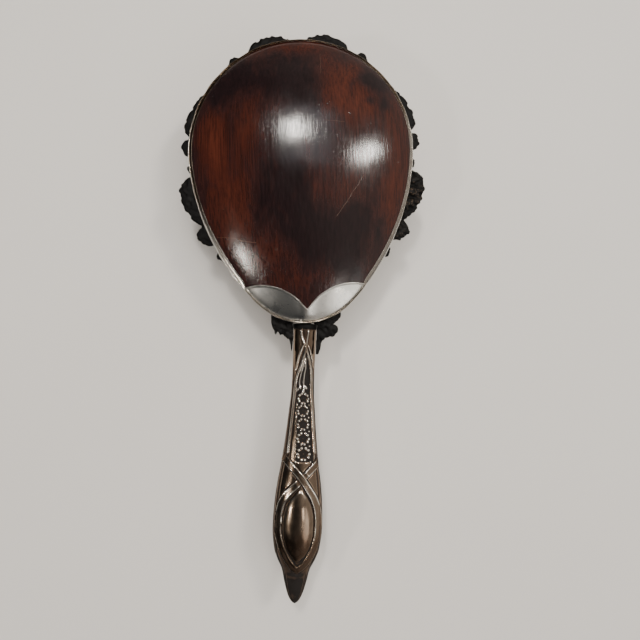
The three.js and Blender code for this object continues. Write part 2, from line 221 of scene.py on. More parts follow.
class Recipe:
    """A material's node tree, with a maker's short words for its nodes."""

    def __init__(self, name: str) -> None:
        """Starts an empty material of that name.

        Args:
            name: the material's name.
        """
        self.material = bpy.data.materials.new(name)
        self.material.use_nodes = True
        self.tree = self.material.node_tree
        self.tree.nodes.clear()
        self.shader = self.tree.nodes.new("ShaderNodeBsdfPrincipled")
        output = self.tree.nodes.new("ShaderNodeOutputMaterial")
        self.tree.links.new(self.shader.outputs["BSDF"], output.inputs["Surface"])

    def put(self, socket: Socket, value: object) -> None:
        """Links a socket to another, or sets its constant.

        Args:
            socket: the socket to feed.
            value: another socket, or a constant.
        """
        if isinstance(value, bpy.types.NodeSocket):
            self.tree.links.new(value, socket)
        else:
            socket.default_value = value

    def coat(self, **values: object) -> None:
        """Sets the shader's sockets, named with underscores for spaces."""
        for name, value in values.items():
            self.put(self.shader.inputs[name.replace("_", " ")], value)

    def place(self, scale: tuple[float, float, float] = (1.0, 1.0, 1.0)) -> Socket:
        """The object's own coordinates, stretched by a scale.

        Args:
            scale: how much finer the pattern gets along each axis.

        Returns:
            The stretched coordinates.
        """
        coordinates = self.tree.nodes.new("ShaderNodeTexCoord")
        mapping = self.tree.nodes.new("ShaderNodeMapping")
        mapping.inputs["Scale"].default_value = scale
        self.put(mapping.inputs["Vector"], coordinates.outputs["Object"])
        return mapping.outputs["Vector"]

    def noise(
        self, place: Socket, scale: float, detail: float = 4.0, rough: float = 0.5, bend: float = 0.0
    ) -> Socket:
        """A cloudy value between 0 and 1 at a place.

        Args:
            place: the coordinates.
            scale: cells to the metre.
            detail: how many finer layers it has.
            rough: how strong the finer layers are.
            bend: how far the cloud is warped.

        Returns:
            The value.
        """
        node = self.tree.nodes.new("ShaderNodeTexNoise")
        for name, value in (("Scale", scale), ("Detail", detail), ("Roughness", rough), ("Distortion", bend)):
            node.inputs[name].default_value = value
        self.put(node.inputs["Vector"], place)
        return node.outputs["Fac"]

    def calc(self, kind: str, *values: object) -> Socket:
        """A Math node of that kind over two or three values.

        Args:
            kind: the node's operation.
            values: sockets or numbers.

        Returns:
            The result.
        """
        node = self.tree.nodes.new("ShaderNodeMath")
        node.operation = kind
        for socket, value in zip(node.inputs, values):
            self.put(socket, value)
        return node.outputs["Value"]

    def vector(self, kind: str, *values: object, result: str = "Vector") -> Socket:
        """A Vector Math node of that kind over its values.

        Args:
            kind: the node's operation.
            values: sockets or vectors.
            result: which of its outputs is wanted.

        Returns:
            The result.
        """
        node = self.tree.nodes.new("ShaderNodeVectorMath")
        node.operation = kind
        for socket, value in zip(node.inputs, values):
            self.put(socket, value)
        return node.outputs[result]

    def remap(
        self, value: Socket, low: float, high: float, to_low: float = 0.0, to_high: float = 1.0
    ) -> Socket:
        """Stretches a value's range to another, and clamps it there.

        Args:
            value: the value.
            low: where its range starts.
            high: where its range ends.
            to_low: what low becomes.
            to_high: what high becomes.

        Returns:
            The stretched value.
        """
        node = self.tree.nodes.new("ShaderNodeMapRange")
        for socket, setting in zip(node.inputs, (value, low, high, to_low, to_high)):
            self.put(socket, setting)
        return node.outputs["Result"]

    def ramp(self, value: Socket, *stops: tuple[float, Colour]) -> Socket:
        """Colours a value by stops.

        Args:
            value: the value.
            stops: places from 0 to 1, each with its colour.

        Returns:
            The colour.
        """
        node = self.tree.nodes.new("ShaderNodeValToRGB")
        elements = node.color_ramp.elements
        while len(elements) < len(stops):
            elements.new(0.5)
        for element, (position, colour) in zip(elements, stops):
            element.position = position
            element.color = (*colour, 1.0)
        self.put(node.inputs["Fac"], value)
        return node.outputs["Color"]

    def mix(self, amount: object, under: object, over: object, blend: str = "MIX") -> Socket:
        """Lays one colour over another by an amount.

        Args:
            amount: how much of the upper colour shows.
            under: the lower colour.
            over: the upper colour.
            blend: how they blend.

        Returns:
            The mixed colour.
        """
        node = self.tree.nodes.new("ShaderNodeMix")
        node.data_type = "RGBA"
        node.blend_type = blend
        self.put(node.inputs["Factor"], amount)
        for name, colour in (("A", under), ("B", over)):
            socket = next(s for s in node.inputs if s.name == name and s.type == "RGBA")
            self.put(socket, (*colour, 1.0) if isinstance(colour, tuple) else colour)
        return next(s for s in node.outputs if s.type == "RGBA")

    def tone_and_painted_light(self) -> Socket:
        """The value painted on the mesh's points: real tone such as figure, tarnish, patina and wear, and in
        places painted reflection, shade and glint.

        Returns:
            The painted value.
        """
        node = self.tree.nodes.new("ShaderNodeAttribute")
        node.attribute_name = "tone_and_painted_light"
        return node.outputs["Fac"]

    def relief(self, height: Socket, strength: float, depth: float, under: Socket | None = None) -> Socket:
        """A bump from a height.

        Args:
            height: the height between 0 and 1.
            strength: how strongly it shows.
            depth: the height's full depth in millimetres.
            under: a normal that the bump is laid over.

        Returns:
            The bumped normal.
        """
        node = self.tree.nodes.new("ShaderNodeBump")
        node.inputs["Strength"].default_value = strength
        node.inputs["Distance"].default_value = depth * MM
        self.put(node.inputs["Height"], height)
        if under is not None:
            self.put(node.inputs["Normal"], under)
        return node.outputs["Normal"]

    def scratch(
        self, start: tuple[float, float], end: tuple[float, float], width: float, waver: float
    ) -> Socket:
        """A thin line's mask on the brush's upper side.

        Args:
            start: one end in millimetres, across and along the brush.
            end: the other end.
            width: the line's half width in millimetres.
            waver: how far it wanders, in millimetres.

        Returns:
            1 on the line and 0 away from it.
        """
        place = self.place((1.0 / MM, 1.0 / MM, 0.0))
        node = self.tree.nodes.new("ShaderNodeTexNoise")
        node.inputs["Scale"].default_value = 0.35
        node.inputs["Detail"].default_value = 5.0
        self.put(node.inputs["Vector"], place)
        wander = self.vector("SUBTRACT", node.outputs["Color"], (0.5, 0.5, 0.5))
        wander = self.vector("MULTIPLY", wander, (2.0 * waver, 2.0 * waver, 0.0))
        moved = self.vector("ADD", self.vector("SUBTRACT", place, (*start, 0.0)), wander)
        run = (end[0] - start[0], end[1] - start[1], 0.0)
        length = run[0] ** 2 + run[1] ** 2
        along = self.calc("DIVIDE", self.vector("DOT_PRODUCT", moved, run, result="Value"), length)
        along = self.remap(along, 0.0, 1.0)
        nearest = self.tree.nodes.new("ShaderNodeVectorMath")
        nearest.operation = "SCALE"
        nearest.inputs[0].default_value = run
        self.put(nearest.inputs["Scale"], along)
        away = self.vector("DISTANCE", moved, nearest.outputs["Vector"], result="Value")
        return self.remap(away, width, 0.3 * width)


@dataclass(frozen=True)
class FiguredWood:
    """Dark polished wood with red figure, lengthwise grain, pits and scratches."""

    deep: Colour = (0.012, 0.006, 0.0064)
    heart: Colour = (0.027, 0.0098, 0.0086)
    ember: Colour = (0.047, 0.0118, 0.0072)
    flame: Colour = (0.072, 0.0175, 0.0095)
    scratches: tuple[tuple[tuple[float, float], tuple[float, float], float, float], ...] = (
        ((-34.5, 35.4), (-25.2, 34.2), 0.07, 0.5),
        ((-25.4, 33.9), (-24.2, 33.1), 0.22, 0.1),
        ((-24.2, 33.2), (-18.5, 32.2), 0.1, 0.5),
        ((24.8, 57.2), (13.7, 41.4), 0.07, 0.5),
        ((9.0, 107.0), (9.1, 98.0), 0.05, 0.1),
        ((10.1, 78.7), (17.9, 78.0), 0.05, 0.2),
    )

    def build(self) -> bpy.types.Material:
        """Makes the wood.

        Returns:
            The finish.
        """
        r = Recipe("figured_wood")
        cloud = r.noise(r.place((1.0, 0.5, 1.0)), 90.0, 7.0, 0.68, 0.5)
        streak = r.noise(r.place((1.0, 0.075, 1.0)), 420.0, 5.0, 0.6, 0.4)
        figure = r.calc("ADD", r.calc("MULTIPLY", cloud, 0.8), r.calc("MULTIPLY", streak, 0.3))
        figure = r.calc("ADD", figure, r.calc("MULTIPLY", r.tone_and_painted_light(), 0.34))
        base = r.ramp(figure, (0.42, self.deep), (0.58, self.heart), (0.76, self.ember), (0.98, self.flame))
        grain = r.noise(r.place((1.0, 0.03, 1.0)), 1500.0, 4.0, 0.65)
        base = r.mix(r.remap(grain, 0.42, 0.62, 0.0, 0.5), base, (0.004, 0.0025, 0.0025))
        pits = r.remap(r.noise(r.place((1.0, 0.6, 1.0)), 520.0, 3.0, 0.6), 0.69, 0.75)
        base = r.mix(r.calc("MULTIPLY", pits, 0.7), base, (0.003, 0.002, 0.002))
        lines = [r.scratch(*scratch) for scratch in self.scratches]
        marks = lines[0]
        for line in lines[1:]:
            marks = r.calc("MAXIMUM", marks, line)
        base = r.mix(r.calc("MULTIPLY", marks, 0.7), base, (0.16, 0.085, 0.055))
        rub = r.noise(r.place((1.0, 0.5, 1.0)), 240.0, 6.0, 0.7)
        gloss = r.remap(rub, 0.3, 0.75, 0.09, 0.2)
        fine = r.noise(r.place((1.0, 0.02, 1.0)), 2200.0, 4.0, 0.65)
        normal = r.relief(fine, 0.3, 0.05)
        normal = r.relief(r.noise(r.place((1.0, 0.16, 1.0)), 1150.0, 4.0, 0.7, 0.3), 0.85, 0.06, normal)
        normal = r.relief(rub, 0.12, 0.2, normal)
        normal = r.relief(r.calc("SUBTRACT", 1.0, r.calc("MAXIMUM", pits, marks)), 0.35, 0.12, normal)
        r.coat(Base_Color=base, Roughness=gloss, Normal=normal, IOR=1.5)
        r.coat(Coat_Weight=0.14, Coat_Roughness=0.12, Specular_IOR_Level=0.42)
        return r.material


@dataclass(frozen=True)
class PlainWood:
    """Close-grained dark wood, waxed rather than polished."""

    dark: Colour = (0.018, 0.008, 0.006)
    warm: Colour = (0.075, 0.028, 0.015)

    def build(self) -> bpy.types.Material:
        """Makes the wood.

        Returns:
            The finish.
        """
        r = Recipe("waxed_wood")
        grain = r.noise(r.place((1.0, 0.05, 1.0)), 900.0, 6.0, 0.65, 0.3)
        cloud = r.noise(r.place(), 55.0, 4.0)
        tone = r.calc("ADD", r.calc("MULTIPLY", grain, 0.7), r.calc("MULTIPLY", cloud, 0.3))
        base = r.ramp(tone, (0.35, self.dark), (0.7, self.warm))
        normal = r.relief(grain, 0.3, 0.06)
        r.coat(Base_Color=base, Roughness=r.remap(grain, 0.3, 0.7, 0.5, 0.34), Normal=normal, IOR=1.5)
        return r.material


@dataclass(frozen=True)
class PolishedSilver:
    """Bright silver with hairline rubbing, and a tone laid on by tarnish and by painted dark reflection."""

    bright: Colour = (0.86, 0.84, 0.79)
    tarnish_and_reflection_tone: Colour = (0.3, 0.22, 0.15)
    tarnish: float = 0.3
    dullness: float = 0.13
    name: str = "polished_silver"

    def build(self) -> bpy.types.Material:
        """Makes the silver.

        Returns:
            The finish.
        """
        r = Recipe(self.name)
        cloud = r.noise(r.place(), 130.0, 6.0, 0.65, 0.5)
        specks = r.remap(r.noise(r.place(), 1100.0, 4.0, 0.7), 0.62, 0.72)
        tarnish_and_painted_reflection = r.calc("ADD", r.remap(cloud, 0.42, 0.75, 0.0, self.tarnish), r.calc("MULTIPLY", specks, 0.4))
        # The painted value lays on tarnish and painted dark reflection.
        tarnish_and_painted_reflection = r.calc("ADD", tarnish_and_painted_reflection, r.tone_and_painted_light())
        base = r.mix(r.remap(tarnish_and_painted_reflection, 0.0, 1.0), self.bright, self.tarnish_and_reflection_tone)
        rub = r.noise(r.place((1.0, 0.12, 1.0)), 2600.0, 3.0, 0.7)
        rough = r.remap(cloud, 0.3, 0.7, self.dullness, self.dullness + 0.12)
        rough = r.calc("ADD", rough, r.calc("MULTIPLY", specks, 0.2))
        normal = r.relief(rub, 0.1, 0.05)
        normal = r.relief(cloud, 0.1, 0.4, normal)
        r.coat(Base_Color=base, Roughness=rough, Metallic=1.0, Normal=normal)
        return r.material


@dataclass(frozen=True)
class StampedSilver:
    """The handle's worn silver: bright on its ridges, brown on the flats and black in the hollows, with
    painted shade at its edges and its neck's end.
    """

    bright: Colour = (0.86, 0.82, 0.75)
    tan: Colour = (0.29, 0.225, 0.168)
    brown: Colour = (0.15, 0.098, 0.068)
    black: Colour = (0.009, 0.0065, 0.0055)

    def build(self) -> bpy.types.Material:
        """Makes the silver. The painted value is 0 in a hollow, 0.5 on a flat and 1 on a ridge, and lower
        where shade is painted.

        Returns:
            The finish.
        """
        r = Recipe("stamped_silver")
        cloud = r.noise(r.place((1.0, 0.6, 1.0)), 210.0, 6.0, 0.65, 0.4)
        tone_and_painted_light = r.calc("ADD", r.tone_and_painted_light(), r.remap(cloud, 0.3, 0.7, -0.1, 0.1))
        base = r.ramp(tone_and_painted_light, (0.12, self.black), (0.36, self.brown), (0.62, self.tan), (0.86, self.bright))
        specks = r.remap(r.noise(r.place(), 1500.0, 3.0, 0.7), 0.66, 0.74)
        base = r.mix(r.calc("MULTIPLY", specks, 0.5), base, (0.05, 0.035, 0.026))
        hollow = r.remap(tone_and_painted_light, 0.1, 0.35, 0.62, 0.0)
        rough = r.calc("ADD", r.remap(cloud, 0.3, 0.75, 0.13, 0.27), hollow)
        normal = r.relief(r.noise(r.place((1.0, 0.2, 1.0)), 1700.0, 3.0, 0.7), 0.1, 0.05)
        normal = r.relief(cloud, 0.14, 0.3, normal)
        metal = r.remap(tone_and_painted_light, 0.08, 0.3, 0.2, 1.0)
        r.coat(Base_Color=base, Roughness=rough, Metallic=metal, Normal=normal)
        return r.material


@dataclass(frozen=True)
class BlackenedMetal:
    """Stamped metal gone black, with a little brown that is partly where the black has worn and partly
    painted glint.
    """

    black: Colour = (0.002, 0.0019, 0.0019)
    grey: Colour = (0.0058, 0.0052, 0.005)
    rust_and_glint: Colour = (0.1, 0.068, 0.045)

    def build(self) -> bpy.types.Material:
        """Makes the metal. The painted value shows the brown, partly wear and partly painted glint.

        Returns:
            The finish.
        """
        r = Recipe("blackened_metal")
        cloud = r.noise(r.place(), 260.0, 6.0, 0.65, 0.3)
        crust = r.noise(r.place(), 1300.0, 5.0, 0.7)
        base = r.ramp(cloud, (0.35, self.black), (0.7, self.grey))
        # Brown flecks: partly worn black, partly painted glint.
        worn = r.calc("MULTIPLY", r.remap(crust, 0.5, 0.64), r.tone_and_painted_light())
        base = r.mix(worn, base, self.rust_and_glint)
        normal = r.relief(crust, 0.35, 0.12)
        normal = r.relief(cloud, 0.25, 0.5, normal)
        rough = r.calc("ADD", r.remap(crust, 0.3, 0.7, 0.42, 0.6), r.calc("MULTIPLY", worn, 0.1))
        r.coat(Base_Color=base, Roughness=rough, Metallic=0.0, Normal=normal, IOR=1.3)
        r.coat(Specular_IOR_Level=0.3)
        return r.material


@dataclass(frozen=True)
class Bristle:
    """Natural bristle, each hair with its own shade and a little darker at the root."""

    light: Colour = (0.62, 0.5, 0.33)
    dark: Colour = (0.3, 0.19, 0.1)

    def build(self) -> bpy.types.Material:
        """Makes the bristle. The painted value is each hair's shade.

        Returns:
            The finish.
        """
        r = Recipe("bristle")
        along = r.noise(r.place((1.0, 1.0, 0.2)), 700.0, 3.0)
        tone = r.calc("ADD", r.tone_and_painted_light(), r.remap(along, 0.3, 0.7, -0.12, 0.12))
        base = r.ramp(tone, (0.0, self.dark), (1.0, self.light))
        r.coat(Base_Color=base, Roughness=r.remap(along, 0.3, 0.7, 0.38, 0.55), Sheen_Weight=0.15)
        return r.material


@dataclass(frozen=True)
class HiddenStuff:
    """Steel or pitch inside the handle and the stock."""

    name: str
    tone: Colour
    metallic: float
    rough: float

    def build(self) -> bpy.types.Material:
        """Makes the stuff.

        Returns:
            The finish.
        """
        r = Recipe(self.name)
        cloud = r.noise(r.place(), 300.0, 5.0, 0.6)
        pale = tuple(min(1.0, c * 1.7) for c in self.tone)
        base = r.ramp(cloud, (0.3, self.tone), (0.75, pale))
        r.coat(Base_Color=base, Metallic=self.metallic, Normal=r.relief(cloud, 0.2, 0.2))
        r.coat(Roughness=r.remap(cloud, 0.3, 0.7, self.rough - 0.08, self.rough + 0.08))
        return r.material


@dataclass(frozen=True)
class PaleFloor:
    """The plain pale floor."""

    tone: Colour = (0.7, 0.675, 0.64)

    def build(self) -> bpy.types.Material:
        """Makes the floor.

        Returns:
            The finish.
        """
        r = Recipe("pale_floor")
        cloud = r.noise(r.place(), 9.0, 3.0)
        shade = tuple(c * 0.97 for c in self.tone)
        r.coat(Base_Color=r.ramp(cloud, (0.3, shade), (0.7, self.tone)), Roughness=0.9)
        return r.material


# ---- The head ----


@dataclass(frozen=True)
class EggOutline:
    """The head's outline of three tangent arcs, in millimetres."""

    crown_radius: float = 45.5
    throat_radius: float = 26.5
    flank_radius: float = 93.5
    crown_y: float = 68.9
    throat_y: float = 26.3
    middle_y: float = 61.4

    def flank(self) -> tuple[float, float]:
        """How far the flank arcs' centres lie past the middle line, and their height along it.

        Returns:
            Both distances.
        """
        reach = self.flank_radius - self.crown_radius
        apart = self.crown_y - self.throat_y
        rise = ((self.flank_radius - self.throat_radius) ** 2 - reach**2 - apart**2) / (2 * apart)
        return math.sqrt(reach**2 - rise**2), self.crown_y + rise

    def frame(self, count: int) -> tuple[np.ndarray, np.ndarray]:
        """Points evenly spaced round the outline, anticlockwise from the throat.

        Args:
            count: how many points.

        Returns:
            The points and their outward normals.
        """
        x, y = self.flank()
        crown = math.atan2(self.crown_y - y, x)
        throat = math.atan2(self.throat_y - y, x)
        arcs = (
            (0.0, self.throat_y, self.throat_radius, -math.pi / 2, throat),
            (-x, y, self.flank_radius, throat, crown),
            (0.0, self.crown_y, self.crown_radius, crown, math.pi - crown),
            (x, y, self.flank_radius, math.pi - crown, math.pi - throat),
            (0.0, self.throat_y, self.throat_radius, math.pi - throat, 1.5 * math.pi),
        )
        ends = np.cumsum([0.0] + [radius * (to - start) for *_, radius, start, to in arcs])
        along = np.arange(count) / count * ends[-1]
        which = np.clip(np.searchsorted(ends, along, side="right") - 1, 0, len(arcs) - 1)
        table = np.array(arcs)[which]
        angle = table[:, 3] + (along - ends[which]) / table[:, 2]
        normal = np.stack([np.cos(angle), np.sin(angle)], axis=1)
        return table[:, :2] + table[:, 2:3] * normal, normal

    def half_width(self, y: np.ndarray, inset: float) -> np.ndarray:
        """Half the head's width at each y, set in from its edge.

        Args:
            y: places along the brush.
            inset: how far in from the outline.

        Returns:
            Half the width at each place.
        """
        x, flank_y = self.flank()
        crown = math.atan2(self.crown_y - flank_y, x)
        throat = math.atan2(self.throat_y - flank_y, x)
        y = np.asarray(y, dtype=float)
        width = self.chord(y, self.flank_radius - inset, flank_y) - x
        high = y > self.crown_y + self.crown_radius * math.sin(crown)
        width = np.where(high, self.chord(y, self.crown_radius - inset, self.crown_y), width)
        low = y < self.throat_y + self.throat_radius * math.sin(throat)
        return np.where(low, self.chord(y, self.throat_radius - inset, self.throat_y), width)

    @staticmethod
    def chord(y: np.ndarray, radius: float, middle: float) -> np.ndarray:
        """Half a circle's width at each y, and 0 beyond it."""
        return np.sqrt(np.maximum(0.0, radius**2 - (y - middle) ** 2))


EGG = EggOutline()


@dataclass
class Dome:
    """The surface of the polished back."""

    edge_z: float = 30.7
    rise: float = 10.5
    power: float = 0.75
    inset: float = 0.6
    curve: np.polynomial.Chebyshev = field(init=False)
    low: float = field(init=False)
    high: float = field(init=False)

    def __post_init__(self) -> None:
        """Fits one smooth line to the head's width, so that the polish doesn't show where its arcs meet."""
        self.low = EGG.throat_y - EGG.throat_radius + self.inset
        self.high = EGG.crown_y + EGG.crown_radius - self.inset
        t = np.linspace(-0.985, 0.985, 400)
        width = EGG.half_width(self.low + (t + 1) / 2 * (self.high - self.low), self.inset)
        self.curve = np.polynomial.Chebyshev.fit(t, width**2 / (1 - t**2), 5)

    def height(self, x: np.ndarray, y: np.ndarray) -> np.ndarray:
        """The dome's height at each place.

        Args:
            x: places across the brush.
            y: places along it.

        Returns:
            The height at each place.
        """
        t = 2 * (y - self.low) / (self.high - self.low) - 1
        inside = np.maximum(0.0, (1 - t**2) * self.curve(np.clip(t, -1, 1)) - x**2)
        return self.edge_z + self.rise * (inside / (EGG.crown_radius - self.inset) ** 2) ** self.power


DOME = Dome()


@dataclass
class WoodenBack:
    """The domed back, which tucks in behind the rim's lip."""

    bottom: float = 28.9
    around: int = 300
    rings: int = 64
    crowding: float = 1.25
    tuck: float = 0.96
    embers: Blobs = (
        (18.0, 89.0, 10.0, 9.0, 1.0),
        (25.0, 82.0, 8.0, 10.0, 0.6),
        (-19.0, 80.0, 6.0, 12.0, 0.8),
        (-34.0, 72.0, 6.0, 13.0, 0.9),
        (-31.0, 58.0, 8.0, 14.0, 0.45),
        (-25.6, 45.0, 9.0, 12.0, 0.7),
        (-13.0, 27.0, 7.0, 8.0, 0.6),
        (1.0, 111.0, 18.0, 4.0, 0.7),
        (38.0, 72.0, 5.0, 16.0, 0.6),
        (35.0, 48.0, 5.0, 16.0, 0.5),
        (11.0, 51.0, 9.0, 10.0, 0.35),
        (-2.0, 18.0, 7.0, 7.0, 0.3),
        (16.0, 101.0, 9.0, 5.0, 0.4),
    )
    shades: Blobs = (
        (-2.0, 97.0, 9.0, 11.0, 0.8),
        (-23.0, 99.0, 9.0, 5.0, 0.5),
        (-33.0, 90.0, 5.0, 7.0, 0.5),
        (33.0, 94.0, 6.0, 5.0, 0.8),
        (27.0, 96.0, 3.0, 2.5, 0.9),
        (21.2, 92.3, 1.2, 3.5, 0.8),
        (27.8, 87.2, 2.0, 1.5, 0.8),
        (34.3, 86.0, 1.8, 2.5, 0.8),
        (-1.0, 36.0, 12.0, 16.0, 0.5),
        (17.0, 34.0, 12.0, 14.0, 0.5),
        (-9.0, 62.0, 7.0, 14.0, 0.35),
        (4.0, 76.0, 8.0, 10.0, 0.3),
    )

    def patches(self, points: np.ndarray) -> np.ndarray:
        """How red the wood's figure is at each point, from -1 for black to 1.

        Args:
            points: count by 3.

        Returns:
            The redness at each point.
        """
        value = np.zeros(len(points))
        for blobs, sign in ((self.embers, 1.0), (self.shades, -1.0)):
            for x, y, wide, long, strength in blobs:
                reach = ((points[:, 0] - x) / wide) ** 2 + ((points[:, 1] - y) / long) ** 2
                value += sign * strength * np.exp(-reach)
        return value

    def build(self, finish: bpy.types.Material) -> bpy.types.Object:
        """Turns the back.

        Args:
            finish: what it is made of.

        Returns:
            The new piece.
        """
        points, normals = EGG.frame(self.around)
        edge = points - normals * RimBand().lip(points)[:, None] * self.tuck
        middle = np.array([0.0, EGG.middle_y])
        scales = 1 - np.linspace(0.0, 1.0, self.rings, endpoint=False) ** self.crowding
        flat = middle + (edge - middle)[None] * scales[:, None, None]
        rings = np.concatenate([flat, DOME.height(flat[..., 0], flat[..., 1])[..., None]], axis=2)
        skirt = rings[:1].copy()
        skirt[..., 2] = self.bottom
        stack = np.concatenate([skirt, rings])
        solid = Stock()
        solid.add_rings(stack, paint=self.patches(stack.reshape(-1, 3)))
        made = solid.piece("polished_back", finish, "figured_wood")
        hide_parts("wooden_back")
        return made


@dataclass
class RimBand:
    """The rolled rim: an outer bead, a dark groove and an inner lip, broader towards the throat."""

    around: int = 480
    lip_inset: float = 1.42
    flange_top: float = 28.8
    dent: float = 0.014
    section: Line = (
        (0.95, 28.05), (0.45, 28.3), (0.14, 28.9), (0.0, 29.6), (0.0, 30.6), (0.05, 31.0),
        (0.15, 31.25), (0.27, 31.3),
        (0.37, 31.2), (0.44, 31.02), (0.56, 31.06), (0.8, 31.16), (1.08, 31.28), (1.13, 31.42),
        (1.2, 31.6),
        (1.29, 31.66), (1.38, 31.56), (1.42, 31.2), (1.42, 28.6), (6.4, 28.6), (6.4, 28.0), (1.6, 28.0),
    )

    def breadth(self, points: np.ndarray) -> np.ndarray:
        """How much broader the rim is than at the crown.

        Args:
            points: points of the outline.

        Returns:
            The breadth at each point.
        """
        low = 0.4 * smoothstep(60.0, 16.0, points[:, 1])
        left = 0.28 * smoothstep(-15.0, -35.0, points[:, 0])
        whole = 1.02 + low + left - 0.4 * smoothstep(101.0, 113.0, points[:, 1])
        return whole * (1 - 0.6 * smoothstep(16.5, 12.5, points[:, 1]))

    def lip(self, points: np.ndarray) -> np.ndarray:
        """How far the inner lip is set in from the outline."""
        return self.lip_inset * self.breadth(points)

    def build(self, finish: bpy.types.Material) -> bpy.types.Object:
        """Rolls the rim.

        Args:
            finish: what it is made of.

        Returns:
            The new piece.
        """
        points, normals = EGG.frame(self.around)
        breadth = self.breadth(points)
        rng = np.random.default_rng(7)
        turn = np.arange(self.around) / self.around * 2 * np.pi
        dents = np.zeros(self.around)
        for k in range(3, 40, 3):
            dents += rng.normal(0, self.dent) * np.sin(turn * k + rng.uniform(0, ANY_TURN))
        loops = []
        for inset, z in self.section:
            deep = np.minimum(inset, self.lip_inset) * (breadth - 1)
            dented = dents * (z > self.flange_top) * (inset < 0.9)
            flat = points - normals * (inset + deep - dented)[:, None]
            loops.append(np.column_stack([flat, np.full(self.around, z)]))
        # Painted dark reflection on the rim's left from the middle upwards; besides that the rim is darker
        # towards the crown and near the throat.
        tarnish_and_painted_reflection = 0.22 + 0.5 * smoothstep(72.0, 100.0, points[:, 1])
        tarnish_and_painted_reflection += 0.4 * smoothstep(5.0, -25.0, points[:, 0]) * smoothstep(36.0, 58.0, points[:, 1])
        tarnish_and_painted_reflection += 0.12 * smoothstep(15.0, 9.0, points[:, 1])
        groove = np.array([0.35 * (0.4 < inset < 1.1) for inset, _ in self.section])
        solid = Stock()
        solid.add_rings(np.array(loops)[::-1], closed=True, paint=(groove[::-1, None] + tarnish_and_painted_reflection).ravel())
        made = solid.piece("rolled_rim", finish, "silver", 60.0)
        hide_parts("rim_band")
        return made


@dataclass
class ThroatMount:
    """The silver mount over the throat: two leaves that meet in a cusp, with a raised edge and a crease."""

    arc_radius: float = 21.9
    arc_x: float = 18.75
    arc_y: float = -6.2
    middle_x: float = 0.8
    sheet: float = 0.7
    lift: float = 0.12
    bead: float = 0.28
    crease: float = 0.55
    turned_down: float = 0.75
    columns: int = 241
    rows: int = 46

    def upper_edge(self, x: np.ndarray) -> np.ndarray:
        """Where the leaves end, along the brush.

        Args:
            x: places across the brush.

        Returns:
            The edge's y at each place.
        """
        away = np.abs(x - self.middle_x)
        arch = self.arc_y + np.sqrt(np.maximum(0.0, self.arc_radius**2 - (away - self.arc_x) ** 2))
        return arch + 0.4 * np.exp(-((away / 0.6) ** 2))

    def lower_edge(self, x: np.ndarray) -> np.ndarray:
        """Where the mount meets the rim, along the brush.

        Args:
            x: places across the brush.

        Returns:
            The edge's y at each place.
        """
        y = np.linspace(-0.2, 30.0, 3000)
        width = EGG.half_width(y, 0.3)
        return np.interp(np.abs(x), width, y)

    def corner(self, side: float) -> float:
        """Where the two edges meet on one side."""
        x = side * np.linspace(18.0, 27.0, 4000)
        return float(x[np.argmax(self.upper_edge(x) - self.lower_edge(x) < 0.05)])

    def build(self, finish: bpy.types.Material) -> bpy.types.Object:
        """Raises the mount.

        Args:
            finish: what it is made of.

        Returns:
            The new piece.
        """
        left, right = self.corner(-1.0), self.corner(1.0)
        s = np.linspace(-1, 1, self.columns)
        x = (left + right) / 2 + (right - left) / 2 * (0.35 * np.sin(s * np.pi / 2) + 0.65 * s)
        low, high = self.lower_edge(x), self.upper_edge(x)
        t = np.linspace(0, 1, self.rows) ** 0.85
        y = low + (high - low) * t[:, None]
        across = np.broadcast_to(x, y.shape)
        from_edge = (high - y) * 0.8
        z = DOME.height(across, y) + self.lift
        z += self.bead * np.exp(-(((from_edge - 0.3) / 0.28) ** 2)) - 0.25 * smoothstep(0.15, 0.0, from_edge)
        z += self.crease * np.exp(-((across / 3.2) ** 2)) * smoothstep(0.0, 3.0, y - low)
        rim = smoothstep(1.1, 0.0, y - low)
        z -= self.turned_down * rim**2
        face = np.stack([across, y, z], axis=2)
        back = face.copy()
        back[..., 2] -= self.sheet
        # Painted dark reflection: the left leaf gets the mount's blue-grey tone, less at its far left, near
        # its lower edge and on its raised edge; the right leaf gets a little of it.
        left_leaf = smoothstep(1.5, -2.5, across - self.middle_x)
        tarnish_and_painted_reflection = left_leaf * (0.7 - 0.45 * smoothstep(-17.0, -24.0, across)) * smoothstep(0.25, 0.9, from_edge)
        tarnish_and_painted_reflection = tarnish_and_painted_reflection * (1 - 0.45 * smoothstep(2.6, 0.6, y - low)) + 0.12 * (1 - left_leaf)
        solid = Stock()
        solid.add_sheet(face[::-1], back[::-1], tarnish_and_painted_reflection[::-1])
        made = solid.piece("cusped_mount", finish, "silver", 50.0)
        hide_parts("throat_mount")
        return made


@dataclass(frozen=True)
class Lobe:
    """One lobe of the border.

    Its angle is from the crown, its reach is past the rim, and its lean is towards the throat.
    """

    angle: float
    half: float
    reach: float
    lean: float = 0.0
    rough: float = 0.1


